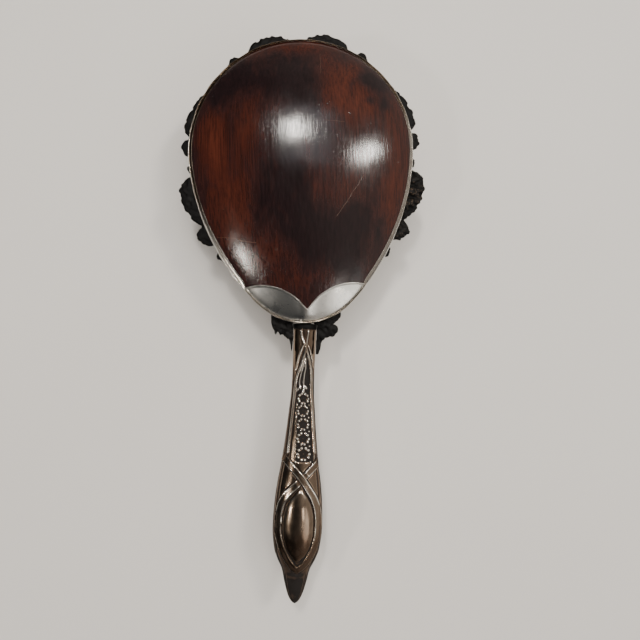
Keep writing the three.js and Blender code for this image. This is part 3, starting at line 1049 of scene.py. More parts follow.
@dataclass
class ScrolledBorder:
    """The blackened border under the rim, with its lobes and the ragged leaf round the neck."""

    bottom: float = 26.2
    top: float = 27.7
    seat: float = 1.6
    voxel: float = 0.3
    ring: tuple[float, float] = (1.0, 6.5)
    around: int = 360
    lobe_sides: int = 96
    lobe_levels: int = 15
    nibble: float = 0.34
    lobes: tuple[Lobe, ...] = (
        Lobe(13.2, 9.9, 4.6, 0.0, 0.3),
        Lobe(29.5, 4.0, 3.1, 0.0, 0.3),
        Lobe(58.6, 10.5, 3.3, 0.38, 0.25),
        Lobe(75.7, 4.2, 3.5, 0.0, 0.2),
        Lobe(86.7, 2.4, 1.7),
        Lobe(103.7, 10.7, 6.5, -0.25, 1.0),
        Lobe(122.3, 4.9, 5.2, -0.1, 0.7),
        Lobe(134.5, 2.9, 1.5),
    )
    leaf: Line = (
        (-13.6, 6.0), (-14.4, 2.6), (-14.0, -0.2), (-13.3, -2.6), (-12.8, -4.5), (-12.3, -4.4),
        (-11.7, -2.6),
        (-11.2, -3.1), (-10.8, -4.6), (-9.2, -5.1), (-8.0, -5.6), (-7.1, -7.0), (-6.6, -9.0),
        (-6.2, -12.0),
        (-5.35, -6.0), (-5.3, -2.4), (-5.5, 0.15), (0.0, -0.22), (4.8, -0.62), (4.4, -2.8), (4.1, -6.0),
        (3.55, -13.3), (4.3, -13.6), (5.4, -11.4), (6.1, -7.9), (6.6, -7.0), (8.6, -6.7),
        (9.6, -5.9), (10.3, -6.8),
        (11.7, -5.2), (13.3, -3.4), (13.0, -2.2), (11.9, -1.2), (10.0, -1.4), (12.4, 0.2), (14.1, 1.7),
        (14.5, 3.5), (13.8, 6.0),
    )

    def crossing(self, angle: float) -> tuple[np.ndarray, np.ndarray]:
        """The rim's point and outward normal in a direction from the border's middle.

        Args:
            angle: degrees clockwise from the crown.

        Returns:
            The point and its normal.
        """
        points, normals = EGG.frame(2880)
        bearing = np.arctan2(points[:, 0], points[:, 1] - EGG.middle_y)
        gap = np.angle(np.exp(1j * (bearing - math.radians(angle))))
        nearest = int(np.argmin(np.abs(gap)))
        return points[nearest], normals[nearest]

    def cushion(self, solid: Stock, lobe: Lobe, side: float) -> None:
        """Adds one lobe, domed and turned down at its edge.

        Args:
            solid: the stock to add it to.
            lobe: its sizes.
            side: 1 for the right of the head and -1 for the left.
        """
        point, normal = self.crossing(side * lobe.angle)
        along = np.array([-normal[1], normal[0]]) * -side
        middle_z, deep = (self.bottom + self.top) / 2, (self.top - self.bottom) / 2
        turn = np.arange(self.lobe_sides) / self.lobe_sides * 2 * np.pi
        rings = []
        for rise in np.linspace(-1, 1, self.lobe_levels):
            tilt = rise * 0.985 * np.pi / 2
            spread = np.cos(tilt) ** 0.62
            out = np.maximum(np.sin(turn), 0.0) ** 2 * lobe.lean * lobe.half
            run = spread * (lobe.half * np.cos(turn) + out)
            rise_out = spread * (lobe.reach + self.seat) * np.sin(turn) - self.seat
            flat = point + along[None] * run[:, None] + normal[None] * rise_out[:, None]
            rings.append(np.column_stack([flat, np.full(self.lobe_sides, middle_z + deep * math.sin(tilt))]))
        stack = np.array(rings)
        solid.add_rings(stack if side > 0 else stack[:, ::-1])

    def plate(self, solid: Stock) -> None:
        """Adds the flat ring under the rim.

        Args:
            solid: the stock to add it to.
        """
        points, normals = EGG.frame(self.around)
        outer, inner = self.ring
        loops = []
        for inset, z in ((outer, self.bottom), (inner, self.bottom), (inner, self.top), (outer, self.top)):
            loops.append(np.column_stack([points - normals * inset, np.full(self.around, z)]))
        solid.add_rings(np.array(loops), closed=True)

    def leaf_prism(self, solid: Stock) -> None:
        """Adds the leaf with a soft edge.

        Args:
            solid: the stock to add it to.
        """
        corners = np.array(self.leaf)
        fine = []
        for a, b in zip(corners, np.roll(corners, -1, axis=0)):
            steps = max(2, int(np.hypot(*(b - a)) / 0.5))
            fine.extend(a + (b - a) * i / steps for i in range(steps))
        outline = np.array(fine)
        outline = (np.roll(outline, 1, axis=0) + 2 * outline + np.roll(outline, -1, axis=0)) / 4
        area = np.sum(outline[:, 0] * np.roll(outline[:, 1], -1) - outline[:, 1] * np.roll(outline[:, 0], -1))
        if area < 0:
            outline = outline[::-1]
        rings = [np.column_stack([outline, np.full(len(outline), z)]) for z in (self.bottom, self.top)]
        solid.add_rings(np.array(rings))

    def weather(self, mesh: bpy.types.Mesh) -> None:
        """Softens the united border, then roughens its lobes and leaf and paints brown on the crests of the
        roughest lobes, partly where the black is worn and partly as painted glint.

        Args:
            mesh: the border's mesh.
        """
        points = np.empty(len(mesh.vertices) * 3)
        mesh.vertices.foreach_get("co", points)
        points = points.reshape(-1, 3) / MM
        lump = np.zeros(len(points))
        fleck = np.zeros(len(points))
        for lobe in self.lobes:
            for side in (1.0, -1.0):
                point, normal = self.crossing(side * lobe.angle)
                away = np.hypot(points[:, 0] - point[0], points[:, 1] - point[1]) / (lobe.half * 1.1)
                rough = lobe.rough if side > 0 else lobe.rough * 0.2
                lump = np.maximum(lump, rough * smoothstep(1.15, 0.7, away))
                fleck = np.maximum(fleck, (rough > 0.6) * smoothstep(0.75, 0.2, away))
        lump = np.maximum(lump, 0.7 * (points[:, 1] < 1.0))
        rng = np.random.default_rng(11)
        waves = np.zeros(len(points))
        for size in (3.4, 2.1, 1.3, 0.85):
            for _ in range(5):
                run = rng.normal(size=3)
                run *= 2 * np.pi / size / np.linalg.norm(run)
                waves += size * 0.055 * np.sin(points @ run + rng.uniform(0, ANY_TURN))
        above = smoothstep(26.9, 27.5, points[:, 2])
        points[:, 2] += lump * np.minimum(waves, 0.28) * above * 0.95
        beyond = smoothstep(0.1, 1.1, np.abs(points[:, 0]) - EGG.half_width(points[:, 1], -0.2))
        outward = points[:, :2] - np.array([0.0, EGG.middle_y])
        outward /= np.linalg.norm(outward, axis=1, keepdims=True)
        points[:, :2] += outward * (beyond * np.clip(waves * 1.1, -self.nibble, self.nibble))[:, None]
        mesh.vertices.foreach_set("co", (points * MM).ravel())
        tone_and_painted_light = mesh.attributes.get("tone_and_painted_light") or mesh.attributes.new("tone_and_painted_light", "FLOAT", "POINT")
        # Brown on the crests of the roughest right lobes: partly wear, partly painted glint.
        tone_and_painted_light.data.foreach_set("value", (fleck * above * smoothstep(-0.1, 0.25, waves)).astype(np.float32))

    def build(self, finish: bpy.types.Material) -> bpy.types.Object:
        """Joins the ring, lobes and leaf into one plate and weathers it.

        Args:
            finish: what it is made of.

        Returns:
            The new piece.
        """
        solid = Stock()
        self.plate(solid)
        self.leaf_prism(solid)
        for lobe in self.lobes:
            for side in (1.0, -1.0):
                self.cushion(solid, lobe, side)
        made = solid.piece("blackened_border", finish, "blackened_metal")
        union = made.modifiers.new("union", "REMESH")
        union.mode = "VOXEL"
        union.voxel_size = self.voxel * MM
        soften = made.modifiers.new("soften", "SMOOTH")
        soften.factor = 0.5
        soften.iterations = 3
        whole = bpy.data.meshes.new_from_object(made.evaluated_get(bpy.context.evaluated_depsgraph_get()))
        made.modifiers.clear()
        made.data = whole
        self.weather(whole)
        whole.polygons.foreach_set("use_smooth", [True] * len(whole.polygons))
        if not whole.materials:
            whole.materials.append(finish)
        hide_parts("scrolled_border")
        return made


@dataclass
class BristleStock:
    """The wooden stock that the bristles are drawn into, with a softened edge and a tongue under the neck."""

    bottom: float = 18.25
    top: float = 25.9
    inset: float = 3.2
    tongue: float = 3.0
    around: int = 300

    def build(self, finish: bpy.types.Material) -> bpy.types.Object:
        """Shapes the stock.

        Args:
            finish: what it is made of.

        Returns:
            The new piece.
        """
        points, normals = EGG.frame(self.around)
        under_neck = smoothstep(7.5, 3.5, np.abs(points[:, 0])) * (points[:, 1] < 20)
        reach = self.inset - under_neck * self.tongue
        round_edge = [(1.6, 0.0), (0.75, 0.18), (0.3, 0.5), (0.08, 0.95), (0.0, 1.6)]
        rings = []
        for inset, rise in round_edge + [(0.0, self.top - self.bottom - 0.3), (0.3, self.top - self.bottom)]:
            flat = points - normals * (reach + inset)[:, None]
            rings.append(np.column_stack([flat, np.full(self.around, self.bottom + rise)]))
        solid = Stock()
        solid.add_rings(np.array(rings))
        made = solid.piece("waxed_stock", finish, "stock_wood")
        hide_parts("bristle_stock")
        return made


@dataclass
class BristleRows:
    """The tufts of hair, drawn in staggered rows."""

    rows: int = 13
    first_y: float = 17.5
    row_pitch: float = 6.9
    tuft_pitch: float = 7.4
    field_inset: float = 8.0
    root_radius: float = 1.45
    tip_radius: float = 2.35
    root_z: float = 19.6
    hairs: int = 38
    hair_rings: int = 5
    wire_z: tuple[float, float] = (24.4, 25.2)
    wire_radius: float = 0.4
    wire_past: float = 0.8

    def places(self, row: int) -> list[tuple[float, float]]:
        """Where a row's tufts stand.

        Args:
            row: the row's number, from 0.

        Returns:
            Each tuft's place across and along the brush.
        """
        y = self.first_y + row * self.row_pitch
        limit = float(EGG.half_width(np.array(y), self.field_inset))
        x = np.arange(self.tuft_pitch / 2 if row % 2 else 0.0, limit + 1e-6, self.tuft_pitch)
        return [(float(v), y) for v in sorted({*x, *(-x)})]

    def tuft(self, solid: Stock, x: float, y: float, rng: np.random.Generator) -> None:
        """Adds one tuft of hairs, each with its own lean, length and shade.

        Args:
            solid: the stock to add it to.
            x: its place across the brush.
            y: its place along the brush.
            rng: where the hairs' chances come from.
        """
        steps = self.hair_rings
        spread = GOLDEN_ANGLE * np.arange(self.hairs) + rng.uniform(0, ANY_TURN)
        radius = np.sqrt((np.arange(self.hairs) + 0.5) / self.hairs)
        for i in range(self.hairs):
            way = np.array([math.cos(spread[i]), math.sin(spread[i])]) * radius[i]
            lean = rng.normal(0, 0.16, 2)
            tip = 0.0 if i == 0 else float(np.abs(rng.normal(0, 0.35)) + 0.5 * radius[i] ** 2)
            rings = []
            for k in range(steps):
                t = k / (steps - 1)
                z = tip + (self.root_z - tip) * t
                flare = self.tip_radius + (self.root_radius - self.tip_radius) * t**0.7
                middle = np.array([x, y]) + way * flare + lean * (1 - t) ** 2
                girth = 0.105 + 0.05 * t
                turn = spread[i] + np.arange(3) * 2 * np.pi / 3
                ring = middle + girth * np.stack([np.cos(turn), np.sin(turn)], axis=1)
                rings.append(np.column_stack([ring, np.full(3, z)]))
            shade = np.clip(rng.normal(0.62, 0.2), 0, 1)
            fade = np.repeat(np.linspace(0.12, -0.25, steps), 3)
            solid.add_rings(np.array(rings), paint=np.clip(shade + fade, 0, 1))

    def build(self, finish: bpy.types.Material) -> list[bpy.types.Object]:
        """Draws every row.

        Args:
            finish: what they are made of.

        Returns:
            The new pieces.
        """
        rng = np.random.default_rng(3)
        made = []
        for row in range(self.rows):
            solid = Stock()
            places = self.places(row)
            for x, y in places:
                self.tuft(solid, x, y, rng)
            end = places[-1][0] + self.wire_past
            loops = []
            for angle in np.arange(8) / 8 * 2 * np.pi:
                y = places[0][1] + self.wire_radius * math.cos(angle)
                z = sum(self.wire_z) / 2 + self.wire_radius * math.sin(angle)
                loops.append([[-end, y, z], [end, y, z]])
            wire = np.array(loops).transpose(1, 0, 2)
            solid.add_rings(wire, paint=0.2)
            piece = solid.piece(f"tufts_{row + 1:02d}", finish, "bristle")
            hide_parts(f"bristle_row_{row + 1:02d}")
            made.append(piece)
        return made


# ---- The handle ----


@dataclass
class Stamping:
    """The handle's stamped pattern, as a height over its smooth form, in millimetres."""

    ribbon_right: Line = (
        (-54.4, 6.15), (-43.6, 5.0), (-31.6, 3.9), (-28.9, 3.6), (-24.6, 3.35), (-20.4, 3.1),
        (-17.3, 2.55),
        (-13.1, 1.5), (-9.6, 0.35), (-8.6, -0.1), (-5.3, -1.3), (-2.6, -1.6),
    )
    ribbon_left: Line = (
        (-54.4, -4.9), (-43.6, -4.05), (-31.6, -3.25), (-27.8, -3.1), (-23.6, -2.55), (-20.4, -1.65),
        (-16.2, -0.4), (-12.4, 0.45), (-9.6, 0.8), (-8.0, 0.95), (-5.3, 1.3), (-2.6, 1.6),
    )
    twin_left: Line = ((-20.5, -3.0), (-17.9, -2.6), (-13.7, -1.7), (-9.6, -0.3))
    twin_right: Line = ((-19.0, 4.0), (-16.8, 3.7), (-13.7, 3.0), (-10.0, 1.8))
    stem_left: Line = ((-28.0, -0.9), (-25.0, -1.5), (-21.0, -0.9), (-18.0, -0.1), (-13.5, 0.5))
    stem_right: Line = ((-28.0, 0.8), (-25.0, 0.25), (-21.5, 0.5), (-19.0, 0.9), (-15.0, 0.7))
    band_over: Line = (
        (-108.0, -6.0), (-103.6, 0.1), (-102.8, 1.2), (-101.3, 3.0), (-98.0, 5.3), (-92.6, 7.4),
        (-87.5, 8.35),
        (-83.0, 8.4), (-78.0, 7.9), (-73.2, 6.45), (-69.0, 4.1), (-64.9, 1.3), (-61.0, -2.1),
        (-57.0, -5.9),
        (-55.4, -7.6),
    )
    band_under: Line = (
        (-108.0, 7.0), (-103.6, 0.9), (-102.8, -0.2), (-101.3, -1.7), (-98.5, -3.6), (-93.0, -6.3),
        (-87.3, -7.6),
        (-82.0, -7.7), (-76.2, -6.9), (-71.8, -4.9), (-67.0, -0.7), (-63.0, 3.1), (-58.6, 7.0),
        (-56.6, 8.6),
    )
    boss_left: Line = (
        (-100.0, 0.3), (-98.5, -1.1), (-93.0, -4.6), (-88.0, -6.0), (-83.4, -6.2), (-77.9, -5.4),
        (-73.7, -3.5),
        (-68.8, 0.85),
    )
    boss_right: Line = (
        (-100.0, 0.35), (-96.4, 4.0), (-92.2, 6.0), (-86.7, 6.95), (-81.7, 6.95), (-76.6, 6.0),
        (-72.4, 3.95),
        (-68.8, 0.95),
    )
    flowers: tuple[tuple[float, float, float], ...] = (
        (0.5, -31.0, 2.65), (0.45, -36.0, 2.7), (0.7, -41.5, 2.8), (1.0, -47.3, 3.0), (1.4, -53.5, 3.15),
    )
    leaves: tuple[tuple[float, float, float], ...] = (
        (-1.2, -26.6, 0.6), (1.3, -26.4, -0.65), (-2.3, -27.4, 0.15), (0.35, -27.9, 0.0),
    )
    panel_left: Line = (
        (-58.0, -2.1), (-53.5, -1.95), (-47.3, -1.95), (-41.5, -2.2), (-36.0, -2.25),
        (-31.0, -2.35), (-27.0, -2.6),
    )
    drawn_in: float = 0.988
    moved_up: float = 0.42
    narrowed: float = 0.99
    band_half: float = 1.38
    chevron_x: float = 0.5
    sunk: float = 0.34
    boss_rise: float = 1.15
    boss_width: float = 13.2
    flat_paint: float = 0.52

    def __post_init__(self) -> None:
        """Settles the long lines, which were laid out on a slightly longer and wider handle."""
        lines = (
            "ribbon_right", "ribbon_left", "twin_left", "twin_right", "stem_left",
            "stem_right", "band_over", "band_under", "boss_left", "boss_right",
        )
        for name in lines:
            laid_out = getattr(self, name)
            settled = tuple((y * self.drawn_in + self.moved_up, x * self.narrowed) for y, x in laid_out)
            object.__setattr__(self, name, settled)

    @staticmethod
    def away(path: Line, x: np.ndarray, y: np.ndarray) -> np.ndarray:
        """The distance from a line that runs along the handle, endless beyond its ends.

        Args:
            path: the line's knots.
            x: places across the handle.
            y: places along it.

        Returns:
            The distance, less than 0 on the line's left.
        """
        step = 0.05
        middle = flowing(path, y)
        slope = (flowing(path, y + step) - flowing(path, y - step)) / (2 * step)
        return (x - middle) / np.sqrt(1 + slope**2)

    def line(
        self, path: Line, x: np.ndarray, y: np.ndarray, half: float, height: float, fade: float = 1.0
    ) -> np.ndarray:
        """A raised round line that fades out at its ends.

        Args:
            path: the line's knots.
            x: places across the handle.
            y: places along it.
            half: the line's half width.
            height: how high it stands.
            fade: the length of its fade.

        Returns:
            Its height at each place.
        """
        ends = smoothstep(path[0][0] - fade / 2, path[0][0] + fade / 2, y)
        ends = ends * smoothstep(path[-1][0] + fade / 2, path[-1][0] - fade / 2, y)
        return height * bump(self.away(path, x, y), half) * ends

    def petals(self, x: np.ndarray, y: np.ndarray) -> np.ndarray:
        """The daisies: five notched petals of two beads each round a sunk star, with seed beads between.

        Args:
            x: places across the handle.
            y: places along it.

        Returns:
            Their height at each place.
        """
        height = np.zeros_like(x)
        for middle_x, middle_y, radius in self.flowers:
            for k in range(5):
                turn = math.radians(36 + 72 * k)
                for lean in (-0.27, 0.27):
                    bead_x = middle_x + radius * 0.78 * math.sin(turn + lean)
                    bead_y = middle_y + radius * 0.78 * math.cos(turn + lean)
                    height = np.maximum(height, 0.62 * bump(np.hypot(x - bead_x, y - bead_y), radius * 0.205))
                inner_x = middle_x + radius * 0.6 * math.sin(turn)
                inner_y = middle_y + radius * 0.6 * math.cos(turn)
                height = np.maximum(height, 0.26 * bump(np.hypot(x - inner_x, y - inner_y), radius * 0.15))
            height = np.maximum(height, 0.12 * bump(np.hypot(x - middle_x, y - middle_y), radius * 0.12))
            for side in (-1.0, 1.0):
                seed = np.hypot(x - middle_x - side * radius * 0.95, y - middle_y + radius * 1.02)
                height = np.maximum(height, 0.34 * bump(seed, 0.42))
        return height

    def sunk_panel(self, x: np.ndarray, y: np.ndarray) -> np.ndarray:
        """The flowers' sunk panel.

        Args:
            x: places across the handle.
            y: places along it.

        Returns:
            1 inside the panel and 0 outside it.
        """
        left, right = flowing(self.ribbon_left, y), flowing(self.ribbon_right, y)
        edge = np.where(y < -28.0, flowing(self.panel_left, y) - 0.3, left)
        edge = np.maximum(edge + 0.16 * np.sin(y * 4.1) * (y < -30.0), left)
        inside = np.minimum(x - edge, right - x)
        return smoothstep(0.25, 0.7, inside) * smoothstep(-13.0, -17.0, y) * smoothstep(-57.3, -56.3, y)

    def ribbons(self, x: np.ndarray, y: np.ndarray) -> np.ndarray:
        """The plain ribbons that run up the neck and cross below the collar.

        Args:
            x: places across the handle.
            y: places along it.

        Returns:
            Their height at each place.
        """
        lines = np.zeros_like(x)
        for path in (self.ribbon_left, self.ribbon_right):
            lines = np.maximum(lines, self.line(path, x, y, 0.5, 0.5))
        for path in (self.twin_left, self.twin_right):
            lines = np.maximum(lines, self.line(path, x, y, 0.4, 0.36))
        return lines

    def channels(self, x: np.ndarray, y: np.ndarray) -> np.ndarray:
        """The dark channels beside the ribbons.

        Args:
            x: places across the handle.
            y: places along it.

        Returns:
            1 in a channel and 0 away from it.
        """
        away_left = np.abs(self.away(self.ribbon_left, x, y))
        away_right = np.abs(self.away(self.ribbon_right, x, y))
        beside = np.exp(-(((np.minimum(away_left, away_right) - 0.78) / 0.24) ** 2))
        return beside * smoothstep(-10.5, -14.0, y) * smoothstep(-58.4, -56.4, y)

    def stems(self, x: np.ndarray, y: np.ndarray) -> np.ndarray:
        """The two stems between the flowers and the neck, with their four leaves.

        Args:
            x: places across the handle.
            y: places along it.

        Returns:
            Their height at each place.
        """
        stems = self.line(self.stem_left, x, y, 0.42, 0.5)
        stems = np.maximum(stems, self.line(self.stem_right, x, y, 0.42, 0.5))
        for leaf_x, leaf_y, lean in self.leaves:
            run_x, run_y = math.sin(lean), math.cos(lean)
            along = (x - leaf_x) * run_x + (y - leaf_y) * run_y
            across = (x - leaf_x) * run_y - (y - leaf_y) * run_x
            stems = np.maximum(stems, 0.46 * bump(np.hypot(along / 1.9, across), 0.55))
        return stems

    def band(self, gap: np.ndarray, reach: np.ndarray, start: np.ndarray) -> tuple[np.ndarray, np.ndarray]:
        """One broad band with raised edges.

        Args:
            gap: the distance from the band's middle line.
            reach: 1 where the band reaches and 0 past the chevron.
            start: 1 past the band's start and 0 before it.

        Returns:
            The band's mask and its height.
        """
        mask = smoothstep(self.band_half, self.band_half - 0.16, np.abs(gap)) * reach * start
        edge = np.exp(-(((np.abs(gap) - self.band_half + 0.24) / 0.15) ** 2))
        return mask, mask * (0.42 + 0.15 * edge + 0.12 * bump(gap, self.band_half))

    def crossed_bands(self, x: np.ndarray, y: np.ndarray) -> tuple[np.ndarray, np.ndarray, np.ndarray]:
        """The two bands that cross above the boss and meet in a chevron below it.

        Args:
            x: places across the handle.
            y: places along it.

        Returns:
            Their height, their mask, and 1 in the moat beside them.
        """
        over, under = self.away(self.band_over, x, y), self.away(self.band_under, x, y)
        past_chevron = 40.0 * (y > -96.6)
        reach_over = smoothstep(self.chevron_x - 0.12, self.chevron_x + 0.02, x + past_chevron)
        reach_under = smoothstep(self.chevron_x + 0.12, self.chevron_x - 0.02, x - past_chevron)
        mask_over, rise_over = self.band(over, reach_over, smoothstep(-53.4, -56.6, y))
        mask_under, rise_under = self.band(under, reach_under, smoothstep(-53.8, -56.8, y))
        crossing = smoothstep(3.2, 1.5, np.abs(over)) * (y > -74.0)
        rise_under = rise_under * (1 - 0.55 * crossing)
        height = np.where(mask_over > 0.4, rise_over, np.maximum(rise_over, rise_under))
        near = np.minimum(np.abs(over) + 9 * (reach_over < 0.5), np.abs(under) + 9 * (reach_under < 0.5))
        moat = np.exp(-(((near - self.band_half - 0.2) / 0.2) ** 2)) * smoothstep(-55.5, -57.5, y)
        return height, np.maximum(mask_over, mask_under), moat

    def boss(self, x: np.ndarray, y: np.ndarray) -> np.ndarray:
        """The plain swelling boss framed by the bands.

        Args:
            x: places across the handle.
            y: places along it.

        Returns:
            Its height at each place.
        """
        low, high = flowing(self.boss_left, y), flowing(self.boss_right, y)
        share_in = np.clip((x - low) / np.maximum(high - low, 0.05), 0, 1)
        whole = smoothstep(-98.6, -97.0, y) * smoothstep(-67.3, -69.3, y)
        swell = (4 * share_in * (1 - share_in)) ** 0.55 * whole
        tall = np.clip((high - low) / self.boss_width, 0, 1) ** 0.7
        return self.boss_rise * swell * tall

    def height(self, x: np.ndarray, y: np.ndarray, half_width: np.ndarray) -> tuple[np.ndarray, np.ndarray]:
        """The whole pattern over the handle.

        Args:
            x: places across the handle.
            y: places along it.
            half_width: the handle's half width at each place.

        Returns:
            The height, and the painted value from 0 in a black hollow to 1 on a bright ridge, lowered by
            painted dark reflection along the edges and painted shadow at the neck's end.
        """
        panel = self.sunk_panel(x, y)
        height = -self.sunk * panel

        share = np.abs(x) / half_width
        ribs = smoothstep(-15.0, -22.0, y) * smoothstep(-104.0, -90.0, y)
        groove = np.exp(-(((share - 0.86) * half_width / 0.22) ** 2)) * ribs
        height -= 0.2 * groove
        height += 0.12 * np.exp(-(((share - 0.92) * half_width / 0.24) ** 2)) * ribs

        lines = self.ribbons(x, y)
        channel = self.channels(x, y)
        height -= 0.16 * channel
        figures = np.maximum(self.stems(x, y), self.petals(x, y)) * (panel > 0.02)
        height = np.where(lines > 0.02, np.maximum(height, lines - 0.02), height + figures)

        bands, covered, moat = self.crossed_bands(x, y)
        boss = self.boss(x, y) * (covered < 0.5)
        height = height * (1 - covered) + bands + boss - 0.22 * moat * (1 - covered) * (boss < 0.75)

        tip = smoothstep(-103.2, -105.2, y)
        blade = smoothstep(0.78, 0.66, share)
        height += tip * (0.28 * blade - 0.18 * np.exp(-(((share - 0.74) * half_width / 0.2) ** 2)))

        soft = blurred(height, 26)
        proud = np.clip((height - soft) / 0.16, -1, 1)
        paint = self.flat_paint + 0.34 * proud
        paint = paint - 0.5 * panel * (1 - smoothstep(0.12, 0.3, figures))
        paint = np.where((figures > 0.3) & (lines < 0.05), 1.0, paint)
        paint = paint - 0.3 * moat * (1 - covered) - 0.34 * channel * (lines < 0.1) - 0.26 * groove
        paint = paint - 0.3 * smoothstep(-80.0, -98.0, y) - 0.06 * tip * (1 + blade)
        # Painted dark reflection along the handle's edges, stronger away from the neck.
        paint = paint - smoothstep(0.84, 1.0, share) * (0.14 + 0.22 * smoothstep(-12.0, -30.0, y))
        # Painted shadow at the neck's end, under the head's mount.
        paint = paint - 0.45 * smoothstep(-3.3, -2.5, y)
        return height, np.clip(paint, 0, 1)


@dataclass
class Handle:
    """The stamped handle in two halves, with its collar."""

    stations: tuple[tuple[float, float, float, float], ...] = (
        (-117.2, 0.35, 0.3, 21.9), (-116.5, 1.25, 0.95, 21.95), (-115.5, 2.0, 1.5, 22.0),
        (-113.8, 2.85, 2.1, 22.05),
        (-111.7, 3.6, 2.6, 22.1), (-107.2, 4.8, 3.2, 22.3), (-102.7, 5.8, 4.0, 22.5),
        (-98.2, 7.9, 5.0, 22.7),
        (-93.8, 9.4, 5.8, 22.9), (-84.8, 10.3, 6.4, 23.3), (-75.8, 10.0, 6.4, 23.6),
        (-66.9, 9.1, 5.9, 23.9),
        (-58.0, 7.7, 5.2, 24.1), (-46.0, 6.3, 4.6, 24.3), (-36.6, 5.4, 4.1, 24.4),
        (-28.3, 4.7, 3.9, 24.5),
        (-20.1, 4.55, 3.8, 24.5), (-11.8, 4.65, 3.9, 24.5), (-1.8, 4.75, 4.0, 24.5),
    )
    collar_section: Line = (
        (-1.6, -0.7), (-1.6, 0.06), (-2.5, 0.08), (-2.6, 0.2), (-2.5, 0.34), (-2.1, 0.42),
        (-1.2, 0.42), (-0.7, 0.3),
        (-0.5, 0.0), (-0.5, -0.9),
    )
    columns: int = 121
    seam_angle: float = 89.0
    collar_sides: int = 96
    wall: float = 0.8
    lean: float = 4.0
    pivot_y: float = 4.0
    stamping: Stamping = field(default_factory=Stamping)

    def leaned(self, points: np.ndarray) -> np.ndarray:
        """Turns points about the neck, so that the handle leans to the left of the head.

        Args:
            points: any grid of points.

        Returns:
            The turned points.
        """
        turn = math.radians(self.lean)
        x, y = points[..., 0], points[..., 1] - self.pivot_y
        across = x * math.cos(turn) + y * math.sin(turn)
        along = self.pivot_y - x * math.sin(turn) + y * math.cos(turn)
        return np.stack([across, along, points[..., 2]], axis=-1)

    def form(self, y: np.ndarray) -> tuple[np.ndarray, np.ndarray, np.ndarray]:
        """The handle's half width, half thickness and middle height along the brush.

        Args:
            y: places along the brush.

        Returns:
            The three sizes at each place.
        """
        table = [tuple((s[0], s[k]) for s in self.stations) for k in (1, 2, 3)]
        return tuple(flowing(line, y) for line in table)

    def rows(self) -> np.ndarray:
        """Where the surface is cut across, close together over the fine work.

        Returns:
            The places along the brush.
        """
        tip_y, neck_y = self.stations[0][0], self.stations[-1][0]
        tip = tip_y + 13.0 * np.linspace(0, 1, 44, endpoint=False) ** 1.25
        boss = np.arange(-104.2, -70.0, 0.24)
        panel = np.arange(-70.0, -9.0, 0.15)
        neck = np.arange(-9.0, neck_y, 0.22)
        return np.concatenate([tip, boss, panel, neck, [neck_y]])

    def half(self, side: Side) -> Stock:
        """One half of the handle as a stamped sheet.

        Args:
            side: which half.

        Returns:
            The sheet.
        """
        y = self.rows()
        angle = np.linspace(-1, 1, self.columns) * np.radians(self.seam_angle)
        width, depth, middle = (value[:, None] for value in self.form(y))
        x = width * np.sin(angle)
        z = side.value * depth * np.cos(angle)
        along = np.broadcast_to(y[:, None], x.shape)
        wide = np.broadcast_to(width, x.shape)
        relief, paint = self.stamping.height(x, along, wide)
        relief = relief * smoothstep(0.0, 0.5, wide - np.abs(x)) * smoothstep(-117.0, -115.5, along)
        relief = relief * smoothstep(-2.5, -3.6, along)
        down = np.stack([np.gradient(value, axis=0) for value in (x, along, z)], axis=2)
        across = np.stack([np.gradient(value, axis=1) for value in (x, along, z)], axis=2)
        normal = np.cross(across, down) * side.value
        normal /= np.maximum(np.linalg.norm(normal, axis=2, keepdims=True), 1e-9)
        face = np.stack([x, along, z + middle], axis=2) + normal * relief[..., None]
        shrink = np.maximum(1 - self.wall / np.maximum(width, self.wall * 1.6), 0.35)
        back = np.stack([x * shrink, along, z * shrink + middle], axis=2)
        if side is Side.TOP:
            face, back, paint = face[::-1], back[::-1], paint[::-1]
        solid = Stock()
        solid.add_sheet(self.leaned(face), self.leaned(back), paint)
        return solid

    def build(self, finish: bpy.types.Material) -> list[bpy.types.Object]:
        """Stamps both halves.

        Args:
            finish: what they are made of.

        Returns:
            The new pieces.
        """
        top = self.half(Side.TOP).piece("stamped_handle_top", finish, "worn_silver", 75.0)
        under = self.half(Side.UNDER).piece("stamped_handle_under", finish, "worn_silver", 75.0)
        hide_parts("handle_top_shell")
        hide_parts("handle_bottom_shell")
        return [top, under]

    def collar(self, finish: bpy.types.Material) -> bpy.types.Object:
        """Turns the dark collar between the neck and the head.

        Args:
            finish: what it is made of.

        Returns:
            The new piece.
        """
        _, width, depth, middle = self.stations[-1]
        turn = np.arange(self.collar_sides) / self.collar_sides * 2 * np.pi
        rings = []
        for y, out in self.collar_section:
            ring_x, ring_z = (width + out) * np.cos(turn), (depth + out) * np.sin(turn) + middle
            rings.append(np.column_stack([ring_x, np.full(self.collar_sides, y), ring_z]))
        solid = Stock()
        solid.add_rings(self.leaned(np.array(rings))[::-1])
        made = solid.piece("dark_collar", finish, "blackened_metal")
        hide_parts("neck_collar")
        return made


# ---- The setting ----


@dataclass(frozen=True)
class SoftLamp:
    """One soft oblong lamp, aimed at the brush, which may or may not show in its polish."""

    name: str
    at: tuple[float, float, float]
    size: float
    watts: float
    colour: Colour
    mirrored: bool = True
    stretch: float = 1.0

    def build(self) -> None:
        """Hangs the lamp."""
        data = bpy.data.lights.new(self.name, "AREA")
        data.shape = "RECTANGLE"
        data.size = self.size * MM
        data.size_y = self.size * self.stretch * MM
        data.energy = self.watts
        data.color = self.colour
        lamp = bpy.data.objects.new(self.name, data)
        lamp.location = Vector(self.at) * MM
        beam = Vector(LAMPS_AIM) - Vector(self.at)
        lamp.rotation_euler = beam.to_track_quat("-Z", "Y").to_euler()
        lamp.visible_glossy = self.mirrored
        bpy.context.scene.collection.objects.link(lamp)


